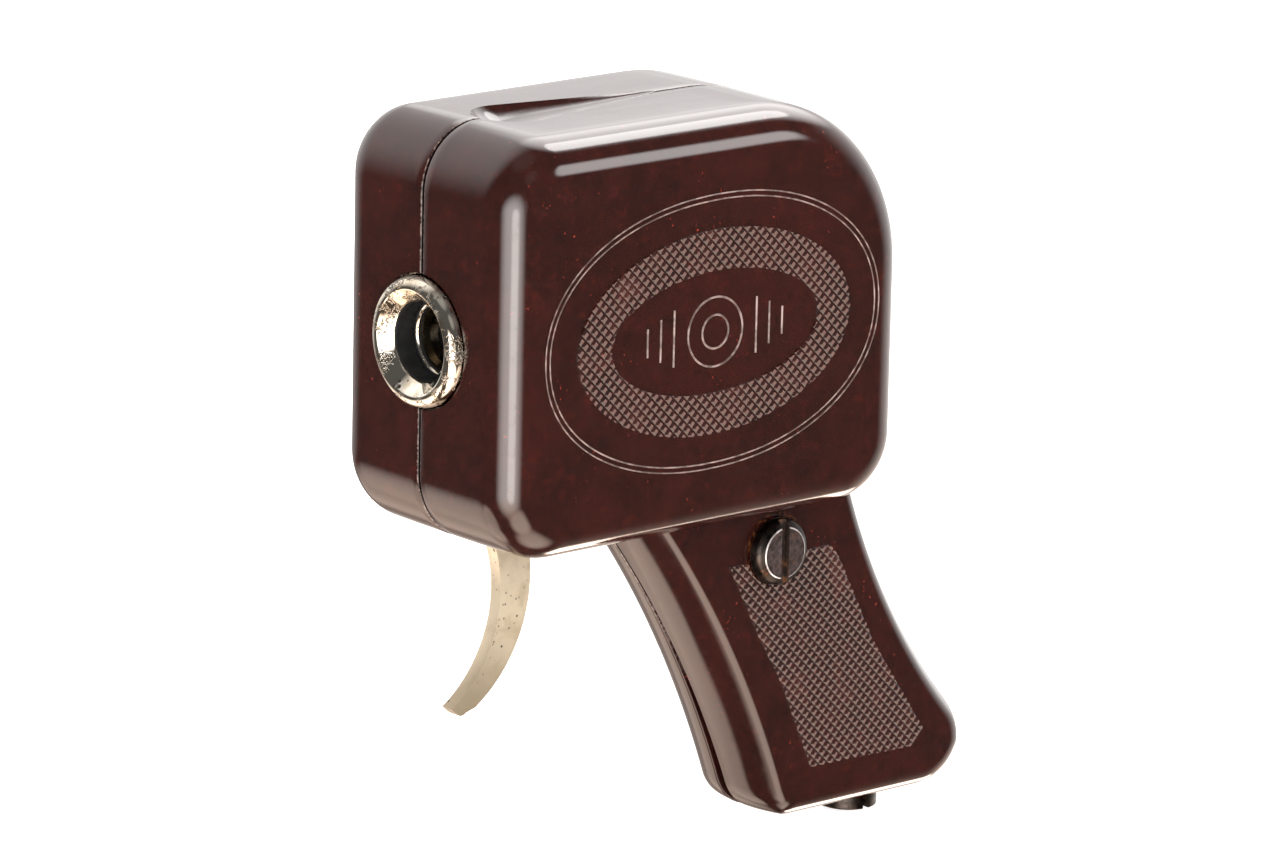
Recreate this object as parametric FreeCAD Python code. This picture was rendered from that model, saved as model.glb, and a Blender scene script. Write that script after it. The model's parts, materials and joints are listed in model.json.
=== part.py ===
"""Pistol-shaped miniature roll-film camera: two moulded case halves with a built-in grip, a metal
camera inside them, and a trigger that turns the shutter and winds the film.

Axes: X across the case (the case halves meet at X = 0), Y from the front face to the back, Z up.
The origin is on the lens axis, in the plane of the case's front face. Sizes are in millimetres.
"""
import FreeCAD
import Part
import math
import os

V = FreeCAD.Vector

# Case
CASE_LENGTH = 80.3
CASE_TOP = 33.0
CASE_BOTTOM = -32.3
CASE_HALF = 20.8
CASE_EDGE_R = 6.6
CORNER_R = {"front_bottom": 12.0, "rear_bottom": 11.0, "rear_top": 27.7, "front_top": 10.3}
WALL = 3.0
SEAM_HALF = 0.15
SIDE_OVAL = (40.5, 0.0)
OVAL_RIM = (33.5, 21.6)
OVAL_BAND = (27.1, 15.9)
OVAL_CORE = (20.5, 9.5)
RELIEF = 0.3

# Grip
GRIP_HALF = 9.9
GRIP_BASE = -85.3
GRIP_TOP = -21.0
GRIP_EDGE_R = 4.5
GRIP_FRONT = ((-96.9, -138.4), 169.3)
GRIP_REAR = ((191.3, 3.9), 114.4)
TOE_FRONT_R = 8.5
TOE_REAR_R = 9.2
GRIP_GAPE = 0.7
PANEL = [(53.9, -40.8), (75.4, -40.8), (96.4, -77.3), (72.0, -77.3)]

# Sighting groove along the top of the seam: a ball end with a tapering tail
GROOVE_TAIL_Y = 48.0
GROOVE_LENGTH = 31.3
GROOVE_HALF_ANGLE = math.radians(15.4)
GROOVE_RISE = math.radians(9.66)

# Case screw, its nut and the tripod bush
SCREW_AT = (63.3, -40.2)
SCREW_HEAD_R = 5.4
SCREW_FACE_R = 4.5
SCREW_HEAD_H = 2.3
SCREW_R = 1.95
NUT_R = 3.4
BOSS_R = 4.8
BUSH_Y = 88.9
BUSH_HEAD_R = 4.8
BUSH_BOTTOM = -88.3
BUSH_THREAD_R = 2.55
DOWELS = [(6.5, -17.0), (70.0, 12.0), (72.0, -24.0)]
DOWEL_R = 1.2
DOWEL_WEB = 2.8
POSTS = [(20.5, 18.0), (38.5, 22.0), (38.5, -22.5)]
POST_R = 1.8
PAD_HALF = 9.5
PAD_LENGTH = 45.0
PAD_DEPTH = 5.6

# Lens ring and optics
RING_R = 10.2
RING_LIP_R = 8.7
RING_BORE_R = 6.0
RING_PROUD = 2.0
RING_FUNNEL_Y = -0.1
RING_SHOULDER_Y = 1.2
RING_BACK_Y = 4.5
RING_FLANGE_R = 12.2
RING_SEAT_R = 6.3
BARREL_FRONT_Y = 3.6
RETAINER_FRONT_Y = 4.4
BARREL_R = 7.6
GLASS_R = 5.2

# Inner camera
CAM_HALF = 13.5
CAM_FRONT = 18.0
FILM_Y = 38.0
CAM_MID_Z = 13.2
SPOOL_Y = 31.0
SPOOL_Z = 17.3
CHAMBER_R = 6.9
CHAMBER_WALL = 1.2
GATE_HALF = 9.0
PLATE_T = 0.8
BACK_T = 1.2
SPINDLE_R = 1.4
BACK_Y = 42.2
FIT = 0.05
PLATE_OUTLINE = [
    (14.2, -29.0), (25.0, -29.0), (30.0, -26.0), (41.0, -26.0), (41.0, 25.5),
    (24.0, 25.5), (16.2, 14.0), (16.2, -14.0), (14.2, -20.0),
]
PLATE_SCREWS = [(20.5, 8.0), (20.5, -8.0), (37.0, 10.0), (34.5, -1.0)]
PLATE_SCREW_R = 0.98
STOP_PIN_AT = (15.45, -28.3)
STOP_PIN_R = 0.9
STOP_PIN_END = 7.0

# Trigger and gearing
PIVOT = (21.0, -26.3)
SHAFT_R = 1.25
TRIGGER_HALF = 1.2
TRIGGER_FRONT_ARC = ((-5.45, -40.94), 20.97)
TRIGGER_REAR_ARC = ((-1.93, -39.31), 23.29)
TRIGGER_TIP = (8.05, -59.95)
TRIGGER_HUB_R = 2.8
TRIGGER_SLOT = (12.9, 25.4)
SPRING_R = 2.1
SPRING_WIRE_R = 0.3
SPRING_PITCH = 0.62
SPRING_COILS = 7
SPRING_X = -8.2
MODULE = 0.5
QUADRANT_TEETH = 42
WIND_TEETH = 12
SHUTTER_TEETH = 12
GEAR_X = (14.8, 16.0)
ARM_LENGTH = 4.5
ARM_ANGLE = math.radians(12.0)
ARM_PIN_R = 0.5
ROD_X = (8.6, 10.3)
ROD_Y = (16.0, 17.4)
ROD_TOP = 13.0
ROD_EYE_TOP = -23.0
WIND_AT = (SPOOL_Y, -SPOOL_Z)
MESH_ANGLE = math.atan2(WIND_AT[1] - PIVOT[1], WIND_AT[0] - PIVOT[0])
RATCHET_TEETH = 30
RATCHET_R = (3.9, 4.5)
RATCHET_X = -CAM_HALF - PLATE_T - 1.3
PAWL_AT = (WIND_AT[0] + 6.6, WIND_AT[1] + 5.2)
PAWL_TIP = (WIND_AT[0] + 4.8, WIND_AT[1] + 0.6)
PAWL_BORE_R = 0.6

# Shutter
SHUTTER_AT = (5.0, 5.0)
SHUTTER_R = 8.6
SHUTTER_SWEEP = math.radians(17.9)
COVER_Y = (14.0, 14.8)
COVER_X = (-11.5, 13.4)
COVER_Z = (-12.3, 13.2)
COVER_SCREWS = [(-9.0, -10.5), (-9.0, 11.0), (12.2, -10.5), (12.2, 11.8)]
PORT_R = 3.6
DISC_Y = (15.2, 15.6)
STUD_R = 1.0

PARTS = {}


def box(x0, x1, y0, y1, z0, z1):
    return Part.makeBox(x1 - x0, y1 - y0, z1 - z0, V(x0, y0, z0))


def cyl_x(centre, r, x0, x1):
    return Part.makeCylinder(r, x1 - x0, V(x0, centre[0], centre[1]), V(1, 0, 0))


def cyl_y(x, z, r, y0, y1):
    return Part.makeCylinder(r, y1 - y0, V(x, y0, z), V(0, 1, 0))


def cyl_z(x, y, r, z0, z1):
    return Part.makeCylinder(r, z1 - z0, V(x, y, z0), V(0, 0, 1))


def ring_x(centre, r_out, r_in, x0, x1):
    return cyl_x(centre, r_out, x0, x1).cut(cyl_x(centre, r_in, x0 - 1, x1 + 1))


def prism_x(points, x0, x1):
    """A prism along X over a polygon of (y, z) points."""
    corners = [V(x0, y, z) for y, z in points]
    face = Part.Face(Part.makePolygon(corners + corners[:1]))
    return face.extrude(V(x1 - x0, 0, 0))


def prism_y(points, y0, y1):
    """A prism along Y over a polygon of (x, z) points."""
    corners = [V(x, y0, z) for x, z in points]
    face = Part.Face(Part.makePolygon(corners + corners[:1]))
    return face.extrude(V(0, y1 - y0, 0))


def fuse(shapes):
    whole = shapes[0]
    if len(shapes) > 1:
        whole = whole.multiFuse(shapes[1:])
    return whole.removeSplitter()


def add(name, shape):
    PARTS[name] = shape


def edges_along(shape, axis):
    """The straight edges of a shape that run along the axis."""
    found = []
    for edge in shape.Edges:
        if len(edge.Vertexes) == 2 and isinstance(edge.Curve, (Part.Line, Part.LineSegment)):
            a, b = [v.Point for v in edge.Vertexes]
            if abs((b - a).normalize().dot(axis)) > 0.999:
                found.append(edge)
    return found


def edges_in_plane(shape, x):
    """The edges of a shape that lie wholly in the plane X = x."""
    return [e for e in shape.Edges if max(abs(e.BoundBox.XMin - x), abs(e.BoundBox.XMax - x)) < 1e-4]


def rounded_case(inset, half, edge_r):
    """The case's block, inset by a distance all round, with rounded corners and side edges."""
    y0, y1 = inset, CASE_LENGTH - inset
    z0, z1 = CASE_BOTTOM + inset, CASE_TOP - inset
    block = box(-half, half, y0, y1, z0, z1)
    corners = {"front_bottom": (y0, z0), "rear_bottom": (y1, z0)}
    corners.update({"rear_top": (y1, z1), "front_top": (y0, z1)})
    for name, (y, z) in corners.items():
        edge = [
            e
            for e in edges_along(block, V(1, 0, 0))
            if abs(e.Vertexes[0].Point.y - y) < 1e-4 and abs(e.Vertexes[0].Point.z - z) < 1e-4
        ]
        block = block.makeFillet(CORNER_R[name] - inset, edge)
    sides = edges_in_plane(block, half) + edges_in_plane(block, -half)
    return block.makeFillet(edge_r, sides)


def arc_y(arc, z, side, grow=0.0):
    """Y of a circular outline at height z, on the side (+1 or -1) of its centre."""
    (cy, cz), r = arc
    return cy + side * math.sqrt((r + grow) ** 2 - (z - cz) ** 2)


def grip_block(inset, half, edge_r):
    """The grip between its curved front and rear outlines, inset by a distance all round."""
    base = GRIP_BASE + inset
    middle = (base + GRIP_TOP) / 2

    def front(z):
        return V(-half, arc_y(GRIP_FRONT, z, 1, inset), z)

    def rear(z):
        return V(-half, arc_y(GRIP_REAR, z, -1, inset), z)

    wire = Part.Wire(
        [
            Part.Arc(front(GRIP_TOP), front(middle), front(base)).toShape(),
            Part.LineSegment(front(base), rear(base)).toShape(),
            Part.Arc(rear(base), rear(middle), rear(GRIP_TOP)).toShape(),
            Part.LineSegment(rear(GRIP_TOP), front(GRIP_TOP)).toShape(),
        ]
    )
    block = Part.Face(wire).extrude(V(2 * half, 0, 0))
    for y, r in ((front(base).y, TOE_FRONT_R), (rear(base).y, TOE_REAR_R)):
        edge = [
            e
            for e in edges_along(block, V(1, 0, 0))
            if abs(e.Vertexes[0].Point.y - y) < 1e-3 and abs(e.Vertexes[0].Point.z - base) < 1e-3
        ]
        block = block.makeFillet(r - inset, edge)
    if edge_r:
        sides = [
            e
            for e in edges_in_plane(block, half) + edges_in_plane(block, -half)
            if abs(e.BoundBox.ZMax - GRIP_TOP) > 1e-3 or abs(e.BoundBox.ZMin - GRIP_TOP) > 1e-3
        ]
        block = block.makeFillet(edge_r, sides)
    return block


def oval(size, x0, x1):
    """An elliptical slab of the side decoration, between two X planes."""
    a, b = size
    centre = V(x0, SIDE_OVAL[0], SIDE_OVAL[1])
    curve = Part.Ellipse(centre + V(0, a, 0), centre + V(0, 0, b), centre)
    return Part.Face(Part.Wire([curve.toShape()])).extrude(V(x1 - x0, 0, 0))


def groove():
    """The sighting groove: a cone with its tip on the top face, ending in a ball."""
    direction = V(0, -math.cos(GROOVE_RISE), math.sin(GROOVE_RISE))
    tip = V(0, GROOVE_TAIL_Y, CASE_TOP)
    ball_r = GROOVE_LENGTH * math.sin(GROOVE_HALF_ANGLE)
    touch = GROOVE_LENGTH * math.cos(GROOVE_HALF_ANGLE) ** 2
    cone = Part.makeCone(0, touch * math.tan(GROOVE_HALF_ANGLE), touch, tip, direction)
    ball = Part.makeSphere(ball_r, tip + direction * GROOVE_LENGTH)
    return cone.fuse(ball)


def case_posts():
    """Posts in the left case half that reach in to the mechanism's side plate."""
    inner = CAM_HALF + PLATE_T + 0.1
    return [cyl_x(at, POST_R, inner, CASE_HALF - WALL / 2) for at in POSTS]


def case_whole():
    """Both case halves in one solid, before the seam is cut."""
    outer = rounded_case(0, CASE_HALF, CASE_EDGE_R).fuse(grip_block(0, GRIP_HALF, GRIP_EDGE_R))
    bands = []
    for side in (1, -1):
        face = side * (CASE_HALF - 0.5)
        proud = side * (CASE_HALF + RELIEF)
        bands.append(oval(OVAL_RIM, face, proud).cut(oval([s - 0.8 for s in OVAL_RIM], face, proud)))
        bands.append(oval(OVAL_BAND, face, proud).cut(oval(OVAL_CORE, face, proud)))
        bands.append(prism_x(PANEL, side * (GRIP_HALF - 0.5), side * (GRIP_HALF + RELIEF)))
    hollow = rounded_case(WALL, CASE_HALF - WALL, CASE_EDGE_R - WALL)
    hollow = hollow.fuse(grip_block(WALL, GRIP_HALF - WALL, 0))
    hollow = hollow.cut(box(-PAD_HALF, PAD_HALF, 0, PAD_LENGTH, CASE_TOP - PAD_DEPTH, CASE_TOP))
    seat = [cyl_x(SCREW_AT, BOSS_R, -GRIP_HALF + 1, GRIP_HALF - 1)]
    seat += [cyl_x(at, DOWEL_R + 1.6, -4.0, 4.0) for at in DOWELS]
    seat += [box(-4, 4, y, CASE_LENGTH - 1, z - DOWEL_WEB, z + DOWEL_WEB) for y, z in DOWELS[1:]]
    seat += [box(-4, 4, 1, y, z - DOWEL_WEB, z + DOWEL_WEB) for y, z in DOWELS[:1]]
    for post in case_posts():
        seat += [post, post.mirror(V(0, 0, 0), V(1, 0, 0))]
    hollow = hollow.cut(fuse(seat))
    whole = outer.multiFuse(bands).cut(hollow)
    cutters = [
        groove(),
        cyl_y(0, 0, RING_R + 0.25, -5, WALL + 0.5),
        box(-1.7, 1.7, TRIGGER_SLOT[0], TRIGGER_SLOT[1], CASE_BOTTOM - 1, CASE_BOTTOM + WALL + 1),
        cyl_z(0, BUSH_Y, 4.0, GRIP_BASE - 2, GRIP_BASE + WALL + 1),
        prism_y(
            [(-0.01, -42), (0.01, -42), (GRIP_GAPE, GRIP_BASE - 1), (-GRIP_GAPE, GRIP_BASE - 1)],
            30,
            120,
        ),
    ]
    cutters += [cyl_x(at, DOWEL_R + 0.02, -3.2, 3.2) for at in DOWELS]
    return whole.cut(fuse(cutters))


def make_case():
    whole = case_whole()
    far = 200.0
    left = whole.common(box(SEAM_HALF, far, -far, far, -far, far))
    right = whole.common(box(-far, -SEAM_HALF, -far, far, -far, far))
    left = left.cut(cyl_x(SCREW_AT, SCREW_R + 0.25, 0, 30))
    right = right.cut(cyl_x(SCREW_AT, NUT_R, -7.5, 0))
    add("left_shell", left)
    add("right_shell", right)
    add("seam_dowels", Part.makeCompound([cyl_x(at, DOWEL_R, -3.0, 3.0) for at in DOWELS]))


def make_case_screw():
    y, z = SCREW_AT
    face_x = GRIP_HALF + RELIEF + FIT
    rim = cyl_x(SCREW_AT, SCREW_HEAD_R, face_x, face_x + 1.2)
    crown_at = V(face_x + 1.2, y, z)
    crown = Part.makeCone(SCREW_HEAD_R, SCREW_FACE_R, SCREW_HEAD_H - 1.2, crown_at, V(1, 0, 0))
    shank = cyl_x(SCREW_AT, SCREW_R, -6.0, face_x)
    slot = box(face_x + 1.1, face_x + 9, y - 0.65, y + 0.65, z - 9, z + 9)
    add("grip_screw", fuse([rim, crown, shank]).cut(slot))
    add("grip_nut", ring_x(SCREW_AT, NUT_R - 0.02, SCREW_R + FIT, -7.4, -1.0))


def make_tripod_bush():
    floor = GRIP_BASE
    head = cyl_z(0, BUSH_Y, BUSH_HEAD_R, BUSH_BOTTOM, floor - FIT)
    neck = cyl_z(0, BUSH_Y, 3.9, BUSH_BOTTOM, floor + WALL + 0.1)
    flange = cyl_z(0, BUSH_Y, 5.6, floor + WALL + FIT, floor + WALL + 3.0)
    bush = fuse([head, neck, flange]).cut(cyl_z(0, BUSH_Y, BUSH_THREAD_R, BUSH_BOTTOM - 1, 0))
    slot = box(-9, 9, BUSH_Y - 0.7, BUSH_Y + 0.7, BUSH_BOTTOM - 1, BUSH_BOTTOM + 1.0)
    add("tripod_bush", bush.cut(slot))


def revolve_y(profile):
    """A solid of revolution about the lens axis from a closed outline of (radius, y) points."""
    points = [V(r, y, 0) for r, y in profile]
    face = Part.Face(Part.makePolygon(points + points[:1]))
    return face.revolve(V(0, 0, 0), V(0, 1, 0), 360)


def make_optics():
    lip_y = -RING_PROUD
    outline = [(RING_LIP_R - 0.6, lip_y), (RING_LIP_R, lip_y)]
    for angle in (0.35, 0.7, 1.05, 1.4):
        outline.append((RING_LIP_R + 1.5 * math.sin(angle), lip_y + 2.6 * (1 - math.cos(angle))))
    outline += [(RING_R, RING_SHOULDER_Y), (RING_R, WALL + 0.2)]
    outline += [(RING_FLANGE_R, WALL + 0.2), (RING_FLANGE_R, RING_BACK_Y)]
    seat_front = BARREL_FRONT_Y - 0.1
    outline += [(RING_SEAT_R, RING_BACK_Y), (RING_SEAT_R, seat_front)]
    outline += [(RING_BORE_R, seat_front), (RING_BORE_R, RING_FUNNEL_Y)]
    add("lens_ring", revolve_y(outline))

    seat_y = RING_BACK_Y + 0.1
    bore_r = GLASS_R + FIT
    neck_r = RING_SEAT_R - FIT
    tube = [(neck_r, BARREL_FRONT_Y), (neck_r, seat_y), (BARREL_R, seat_y)]
    tube += [(BARREL_R, 12.0), (9.0, 12.0), (9.0, COVER_Y[0]), (4.0, COVER_Y[0]), (4.0, 11.4)]
    tube += [(bore_r, 11.4), (bore_r, BARREL_FRONT_Y)]
    add("lens_barrel", revolve_y(tube))
    front = RETAINER_FRONT_Y
    retainer = [(GLASS_R, front), (GLASS_R, 7.0), (4.4, 7.0), (4.4, front + 1.0), (4.85, front)]
    add("lens_retaining_ring", revolve_y(retainer))

    ball = Part.makeSphere(14.0, V(0, 7.6 + 14.0, 0)).common(cyl_y(0, 0, GLASS_R, 0, 12))
    hollow = Part.makeSphere(18.0, V(0, 9.6 + 18.0, 0))
    add("front_lens", ball.cut(hollow).common(box(-9, 9, 7.1, 10.9, -9, 9)))
    add("aperture_stop", cyl_y(0, 0, GLASS_R, 10.95, 11.35).cut(cyl_y(0, 0, 0.9, 9, 13)))


def gear_profile(teeth, count=None, root=0.0):
    """Points of a stub-toothed involute gear of this many teeth, or of its first count teeth.

    The outline runs round the pitch centre from one gap's middle to the next; root is the radius
    that a part gear closes to.
    """
    count = count or teeth
    pitch_r = MODULE * teeth / 2
    base_r = pitch_r * math.cos(math.radians(20))
    tip_r = pitch_r + 0.8 * MODULE
    foot_r = pitch_r - 1.05 * MODULE
    lean = math.tan(math.radians(20)) - math.radians(20)
    half_tooth = math.pi / (2 * teeth) - 0.06 / pitch_r

    def flank(r):
        if r <= base_r:
            return half_tooth + lean
        swing = math.acos(base_r / r)
        return half_tooth + lean - (math.tan(swing) - swing)

    radii = [foot_r] + [max(base_r, foot_r) + (tip_r - max(base_r, foot_r)) * k / 4 for k in range(5)]
    points = []
    for k in range(count):
        middle = 2 * math.pi * k / teeth
        points += [(r, middle - flank(r)) for r in radii]
        points += [(r, middle + flank(r)) for r in reversed(radii)]
    points = [(r * math.cos(t), r * math.sin(t)) for r, t in points]
    if count < teeth:
        last = 2 * math.pi * (count - 1) / teeth + flank(foot_r)
        points += [(root * math.cos(last), root * math.sin(last))]
        points += [(root * math.cos(-flank(foot_r)), root * math.sin(-flank(foot_r)))]
    return points


def turned(points, angle, centre):
    """Points turned by an angle and moved to a centre."""
    c, s = math.cos(angle), math.sin(angle)
    return [(centre[0] + y * c - z * s, centre[1] + y * s + z * c) for y, z in points]


def make_trigger():
    tip_front = (arc_y(TRIGGER_FRONT_ARC, -58.2, 1), -58.2)
    tip_rear = (arc_y(TRIGGER_REAR_ARC, -59.1, 1), -59.1)
    top_front = (arc_y(TRIGGER_FRONT_ARC, -33.0, 1), -33.0)
    top_rear = (arc_y(TRIGGER_REAR_ARC, -36.0, 1), -36.0)
    mid_front = (arc_y(TRIGGER_FRONT_ARC, -46.0, 1), -46.0)
    mid_rear = (arc_y(TRIGGER_REAR_ARC, -48.0, 1), -48.0)
    hub_front = (18.3, -26.0)
    hub_rear = (23.8, -27.0)

    def at(p):
        return V(-TRIGGER_HALF, p[0], p[1])

    wire = Part.Wire(
        [
            Part.LineSegment(at(hub_front), at(top_front)).toShape(),
            Part.Arc(at(top_front), at(mid_front), at(tip_front)).toShape(),
            Part.Arc(at(tip_front), at(TRIGGER_TIP), at(tip_rear)).toShape(),
            Part.Arc(at(tip_rear), at(mid_rear), at(top_rear)).toShape(),
            Part.LineSegment(at(top_rear), at(hub_rear)).toShape(),
            Part.LineSegment(at(hub_rear), at(hub_front)).toShape(),
        ]
    )
    blade = Part.Face(wire).extrude(V(2 * TRIGGER_HALF, 0, 0))
    hub = cyl_x(PIVOT, TRIGGER_HUB_R, -TRIGGER_HALF, TRIGGER_HALF)
    add("trigger", fuse([blade, hub]).cut(cyl_x(PIVOT, SHAFT_R, -5, 5)))
    end = GEAR_X[1] + 0.4
    add("trigger_shaft", cyl_x(PIVOT, SHAFT_R, -CAM_HALF - PLATE_T - 0.6, end))

    pin_at = (PIVOT[0] - ARM_LENGTH * math.cos(ARM_ANGLE), PIVOT[1] + ARM_LENGTH * math.sin(ARM_ANGLE))
    arm_x = (ROD_X[1] + 0.3, ROD_X[1] + 1.5)
    web = [
        (PIVOT[0], PIVOT[1] - 1.6),
        (PIVOT[0], PIVOT[1] + 1.6),
        (pin_at[0], pin_at[1] + 1.0),
        (pin_at[0], pin_at[1] - 1.0),
    ]
    arm = [cyl_x(PIVOT, 2.4, *arm_x), cyl_x(pin_at, 1.0, *arm_x), prism_x(web, *arm_x)]
    arm.append(cyl_x(pin_at, ARM_PIN_R, ROD_X[0] - 0.2, arm_x[1]))
    add("release_arm", fuse(arm).cut(cyl_x(PIVOT, SHAFT_R, 0, 20)))

    first = MESH_ANGLE - 2 * math.pi / QUADRANT_TEETH * 5
    teeth = turned(gear_profile(QUADRANT_TEETH, 7, 1.5), first, PIVOT)
    quadrant = fuse([prism_x(teeth, *GEAR_X), cyl_x(PIVOT, 2.2, *GEAR_X)])
    add("drive_quadrant", quadrant.cut(cyl_x(PIVOT, SHAFT_R, 0, 20)))
    add("trigger_spring", coil_spring())
    add("stop_pin", cyl_x(STOP_PIN_AT, STOP_PIN_R, -CAM_HALF - PLATE_T, STOP_PIN_END))


def coil_spring():
    """The trigger's torsion spring: touching coils round the shaft, and its two legs."""
    wire = SPRING_WIRE_R
    outer = []
    inner = []
    for k in range(SPRING_COILS):
        x = SPRING_X + SPRING_PITCH * k
        for step, rise in ((-1.0, 0.0), (-0.6, 0.8), (0.0, 1.0), (0.6, 0.8), (1.0, 0.0)):
            outer.append((x + step * wire, SPRING_R + 0.1 + rise * (wire - 0.1)))
            inner.append((x + step * wire, SPRING_R - 0.1 - rise * (wire - 0.1)))
    ring = [V(x, PIVOT[0] + r, PIVOT[1]) for x, r in outer + inner[::-1]]
    coils = Part.Face(Part.makePolygon(ring + ring[:1])).revolve(V(0, PIVOT[0], PIVOT[1]), V(1, 0, 0), 360)
    leg_y = PIVOT[0] - SPRING_R
    fixed_leg = cyl_z(SPRING_X, leg_y, wire, PIVOT[1] + 0.2, -CAM_MID_Z - 0.1)
    moving_leg = cyl_x((PIVOT[0], PIVOT[1] - SPRING_R), wire, -4.8, -TRIGGER_HALF - 0.1)
    return fuse([coils, fixed_leg, moving_leg])


def make_winding():
    turn = MESH_ANGLE + math.pi + math.pi / WIND_TEETH
    pinion = prism_x(turned(gear_profile(WIND_TEETH), turn, WIND_AT), *GEAR_X)
    add("takeup_pinion", pinion.cut(cyl_x(WIND_AT, SPINDLE_R, 0, 30)))
    spindle = cyl_x(WIND_AT, SPINDLE_R, 9.0, GEAR_X[1] + 0.5)
    key = box(8.0, 9.4, WIND_AT[0] - 0.5, WIND_AT[0] + 0.5, WIND_AT[1] - 1.9, WIND_AT[1] + 1.9)
    add("takeup_spindle", fuse([spindle, key]))

    x0 = RATCHET_X
    x1 = x0 + 1.0
    saw = []
    for k in range(RATCHET_TEETH):
        for step, r in ((0.0, RATCHET_R[0]), (0.92, RATCHET_R[1])):
            angle = 2 * math.pi * (k + step) / RATCHET_TEETH
            saw.append((r * math.cos(angle), r * math.sin(angle)))
    wheel = prism_x(turned(saw, 0.05, WIND_AT), x0, x1)
    hub = cyl_x(WIND_AT, 2.2, x0, x1 + 0.2)
    stub = cyl_x(WIND_AT, SPINDLE_R, x0, -9.0)
    add("ratchet_wheel", fuse([wheel, hub, stub]))

    heel = [(PAWL_AT[0] - 1.2, PAWL_AT[1]), (PAWL_AT[0] + 1.2, PAWL_AT[1])]
    nose = [(PAWL_TIP[0] + 0.9, PAWL_TIP[1] + 0.5), PAWL_TIP]
    pawl = fuse([prism_x(heel + nose, x0, x1), cyl_x(PAWL_AT, 1.4, x0, x1)])
    add("ratchet_pawl", pawl.cut(cyl_x(PAWL_AT, PAWL_BORE_R, -30, 0)))
    stud = cyl_x(PAWL_AT, PAWL_BORE_R - 0.02, x0 - 0.5, -CAM_HALF)
    head = cyl_x(PAWL_AT, 1.1, x0 - 0.8, x0 - 0.1)
    add("pawl_stud", fuse([stud, head]))
    leaf = prism_x([(37.9, -8.0), (38.2, -8.0), (39.9, -12.6), (39.6, -12.6)], x0 + 0.2, x0 + 0.8)
    foot = box(x0 + 0.2, -CAM_HALF - PLATE_T, 37.2, 38.2, -8.4, -7.4)
    add("pawl_spring", fuse([leaf, foot]))


def spool(centre):
    core = cyl_x(centre, 2.6, -10.4, 10.4)
    flanges = [cyl_x(centre, 6.3, *x) for x in ((-11.0, -10.2), (10.2, 11.0))]
    bore = cyl_x(centre, SPINDLE_R + FIT, -12, 12)
    slit = box(-8, 8, centre[0] - 0.4, centre[0] + 0.4, centre[1], centre[1] + 4)
    return fuse([core] + flanges).cut(bore).cut(slit)


def make_spools():
    supply = (SPOOL_Y, SPOOL_Z)
    add("supply_spool", spool(supply))
    keyway = box(7.9, 12, SPOOL_Y - 0.55, SPOOL_Y + 0.55, WIND_AT[1] - 2.0, WIND_AT[1] + 2.0)
    add("takeup_spool", spool(WIND_AT).cut(keyway))
    outer = CAM_HALF + PLATE_T
    pins = [cyl_x(supply, SPINDLE_R, 9.0, outer), cyl_x(supply, SPINDLE_R, -outer, -9.0)]
    add("supply_pins", Part.makeCompound(pins))


def make_camera():
    chamber = CHAMBER_R + CHAMBER_WALL
    solid = [box(-CAM_HALF, CAM_HALF, CAM_FRONT, FILM_Y, -CAM_MID_Z, CAM_MID_Z)]
    hollow = []
    for side in (1, -1):
        centre = (SPOOL_Y, side * SPOOL_Z)
        z0, z1 = sorted((side * (SPOOL_Z - 2), side * (SPOOL_Z + chamber)))
        solid.append(cyl_x(centre, chamber, -CAM_HALF, CAM_HALF))
        solid.append(box(-CAM_HALF, CAM_HALF, SPOOL_Y, FILM_Y, z0, z1))
        z0, z1 = sorted((side * (SPOOL_Z - CHAMBER_R), side * (SPOOL_Z + CHAMBER_R)))
        hollow.append(cyl_x(centre, CHAMBER_R, -11.4, 11.4))
        hollow.append(box(-11.4, 11.4, SPOOL_Y, FILM_Y + 1, z0, z1))
        for x0, x1 in ((-20, -11), (11, 20)):
            hollow.append(cyl_x(centre, SPINDLE_R + FIT, x0, x1))
    tunnel = []
    for half, y in ((GATE_HALF / 2, CAM_FRONT + 1.6), (GATE_HALF, FILM_Y + 0.01)):
        square = ((-half, -half), (half, -half), (half, half), (-half, half), (-half, -half))
        tunnel.append(Part.makePolygon([V(x, y, z) for x, z in square]))
    hollow.append(Part.makeLoft(tunnel, True, True))
    hollow.append(cyl_y(0, 0, PORT_R, CAM_FRONT - 1, CAM_FRONT + 3))
    hollow.append(cyl_y(*SHUTTER_AT, STUD_R, CAM_FRONT - 1, CAM_FRONT + 1.4))
    block = fuse(solid).common(box(-20, 20, 0, FILM_Y, -40, 40))
    add("camera_body", block.cut(fuse(hollow)))

    z_top = SPOOL_Z + chamber
    half = CAM_HALF - 0.1
    back = box(-half, half, FILM_Y + 0.1, BACK_Y, -z_top, z_top)
    half = half - BACK_T
    inside = box(-half, half, FILM_Y, BACK_Y - BACK_T, -z_top + BACK_T, z_top - BACK_T)
    add("camera_back", back.cut(inside))
    add("pressure_plate", box(-11.2, 11.2, FILM_Y + 0.25, FILM_Y + 1.05, -10.6, 10.6))
    strip = [(39.1, -8.0), (39.35, -8.0), (40.95, -1.2), (40.95, 1.2)]
    strip += [(39.35, 8.0), (39.1, 8.0), (40.7, 1.1), (40.7, -1.1)]
    add("pressure_spring", prism_x(strip, -3, 3))
    leaf = box(-3, 3, 33.0, 41.5, z_top + 0.25, z_top + 0.75)
    foot = box(-3, 3, 33.0, 35.0, z_top, z_top + 0.5)
    add("back_latch", fuse([leaf, foot]))


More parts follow.
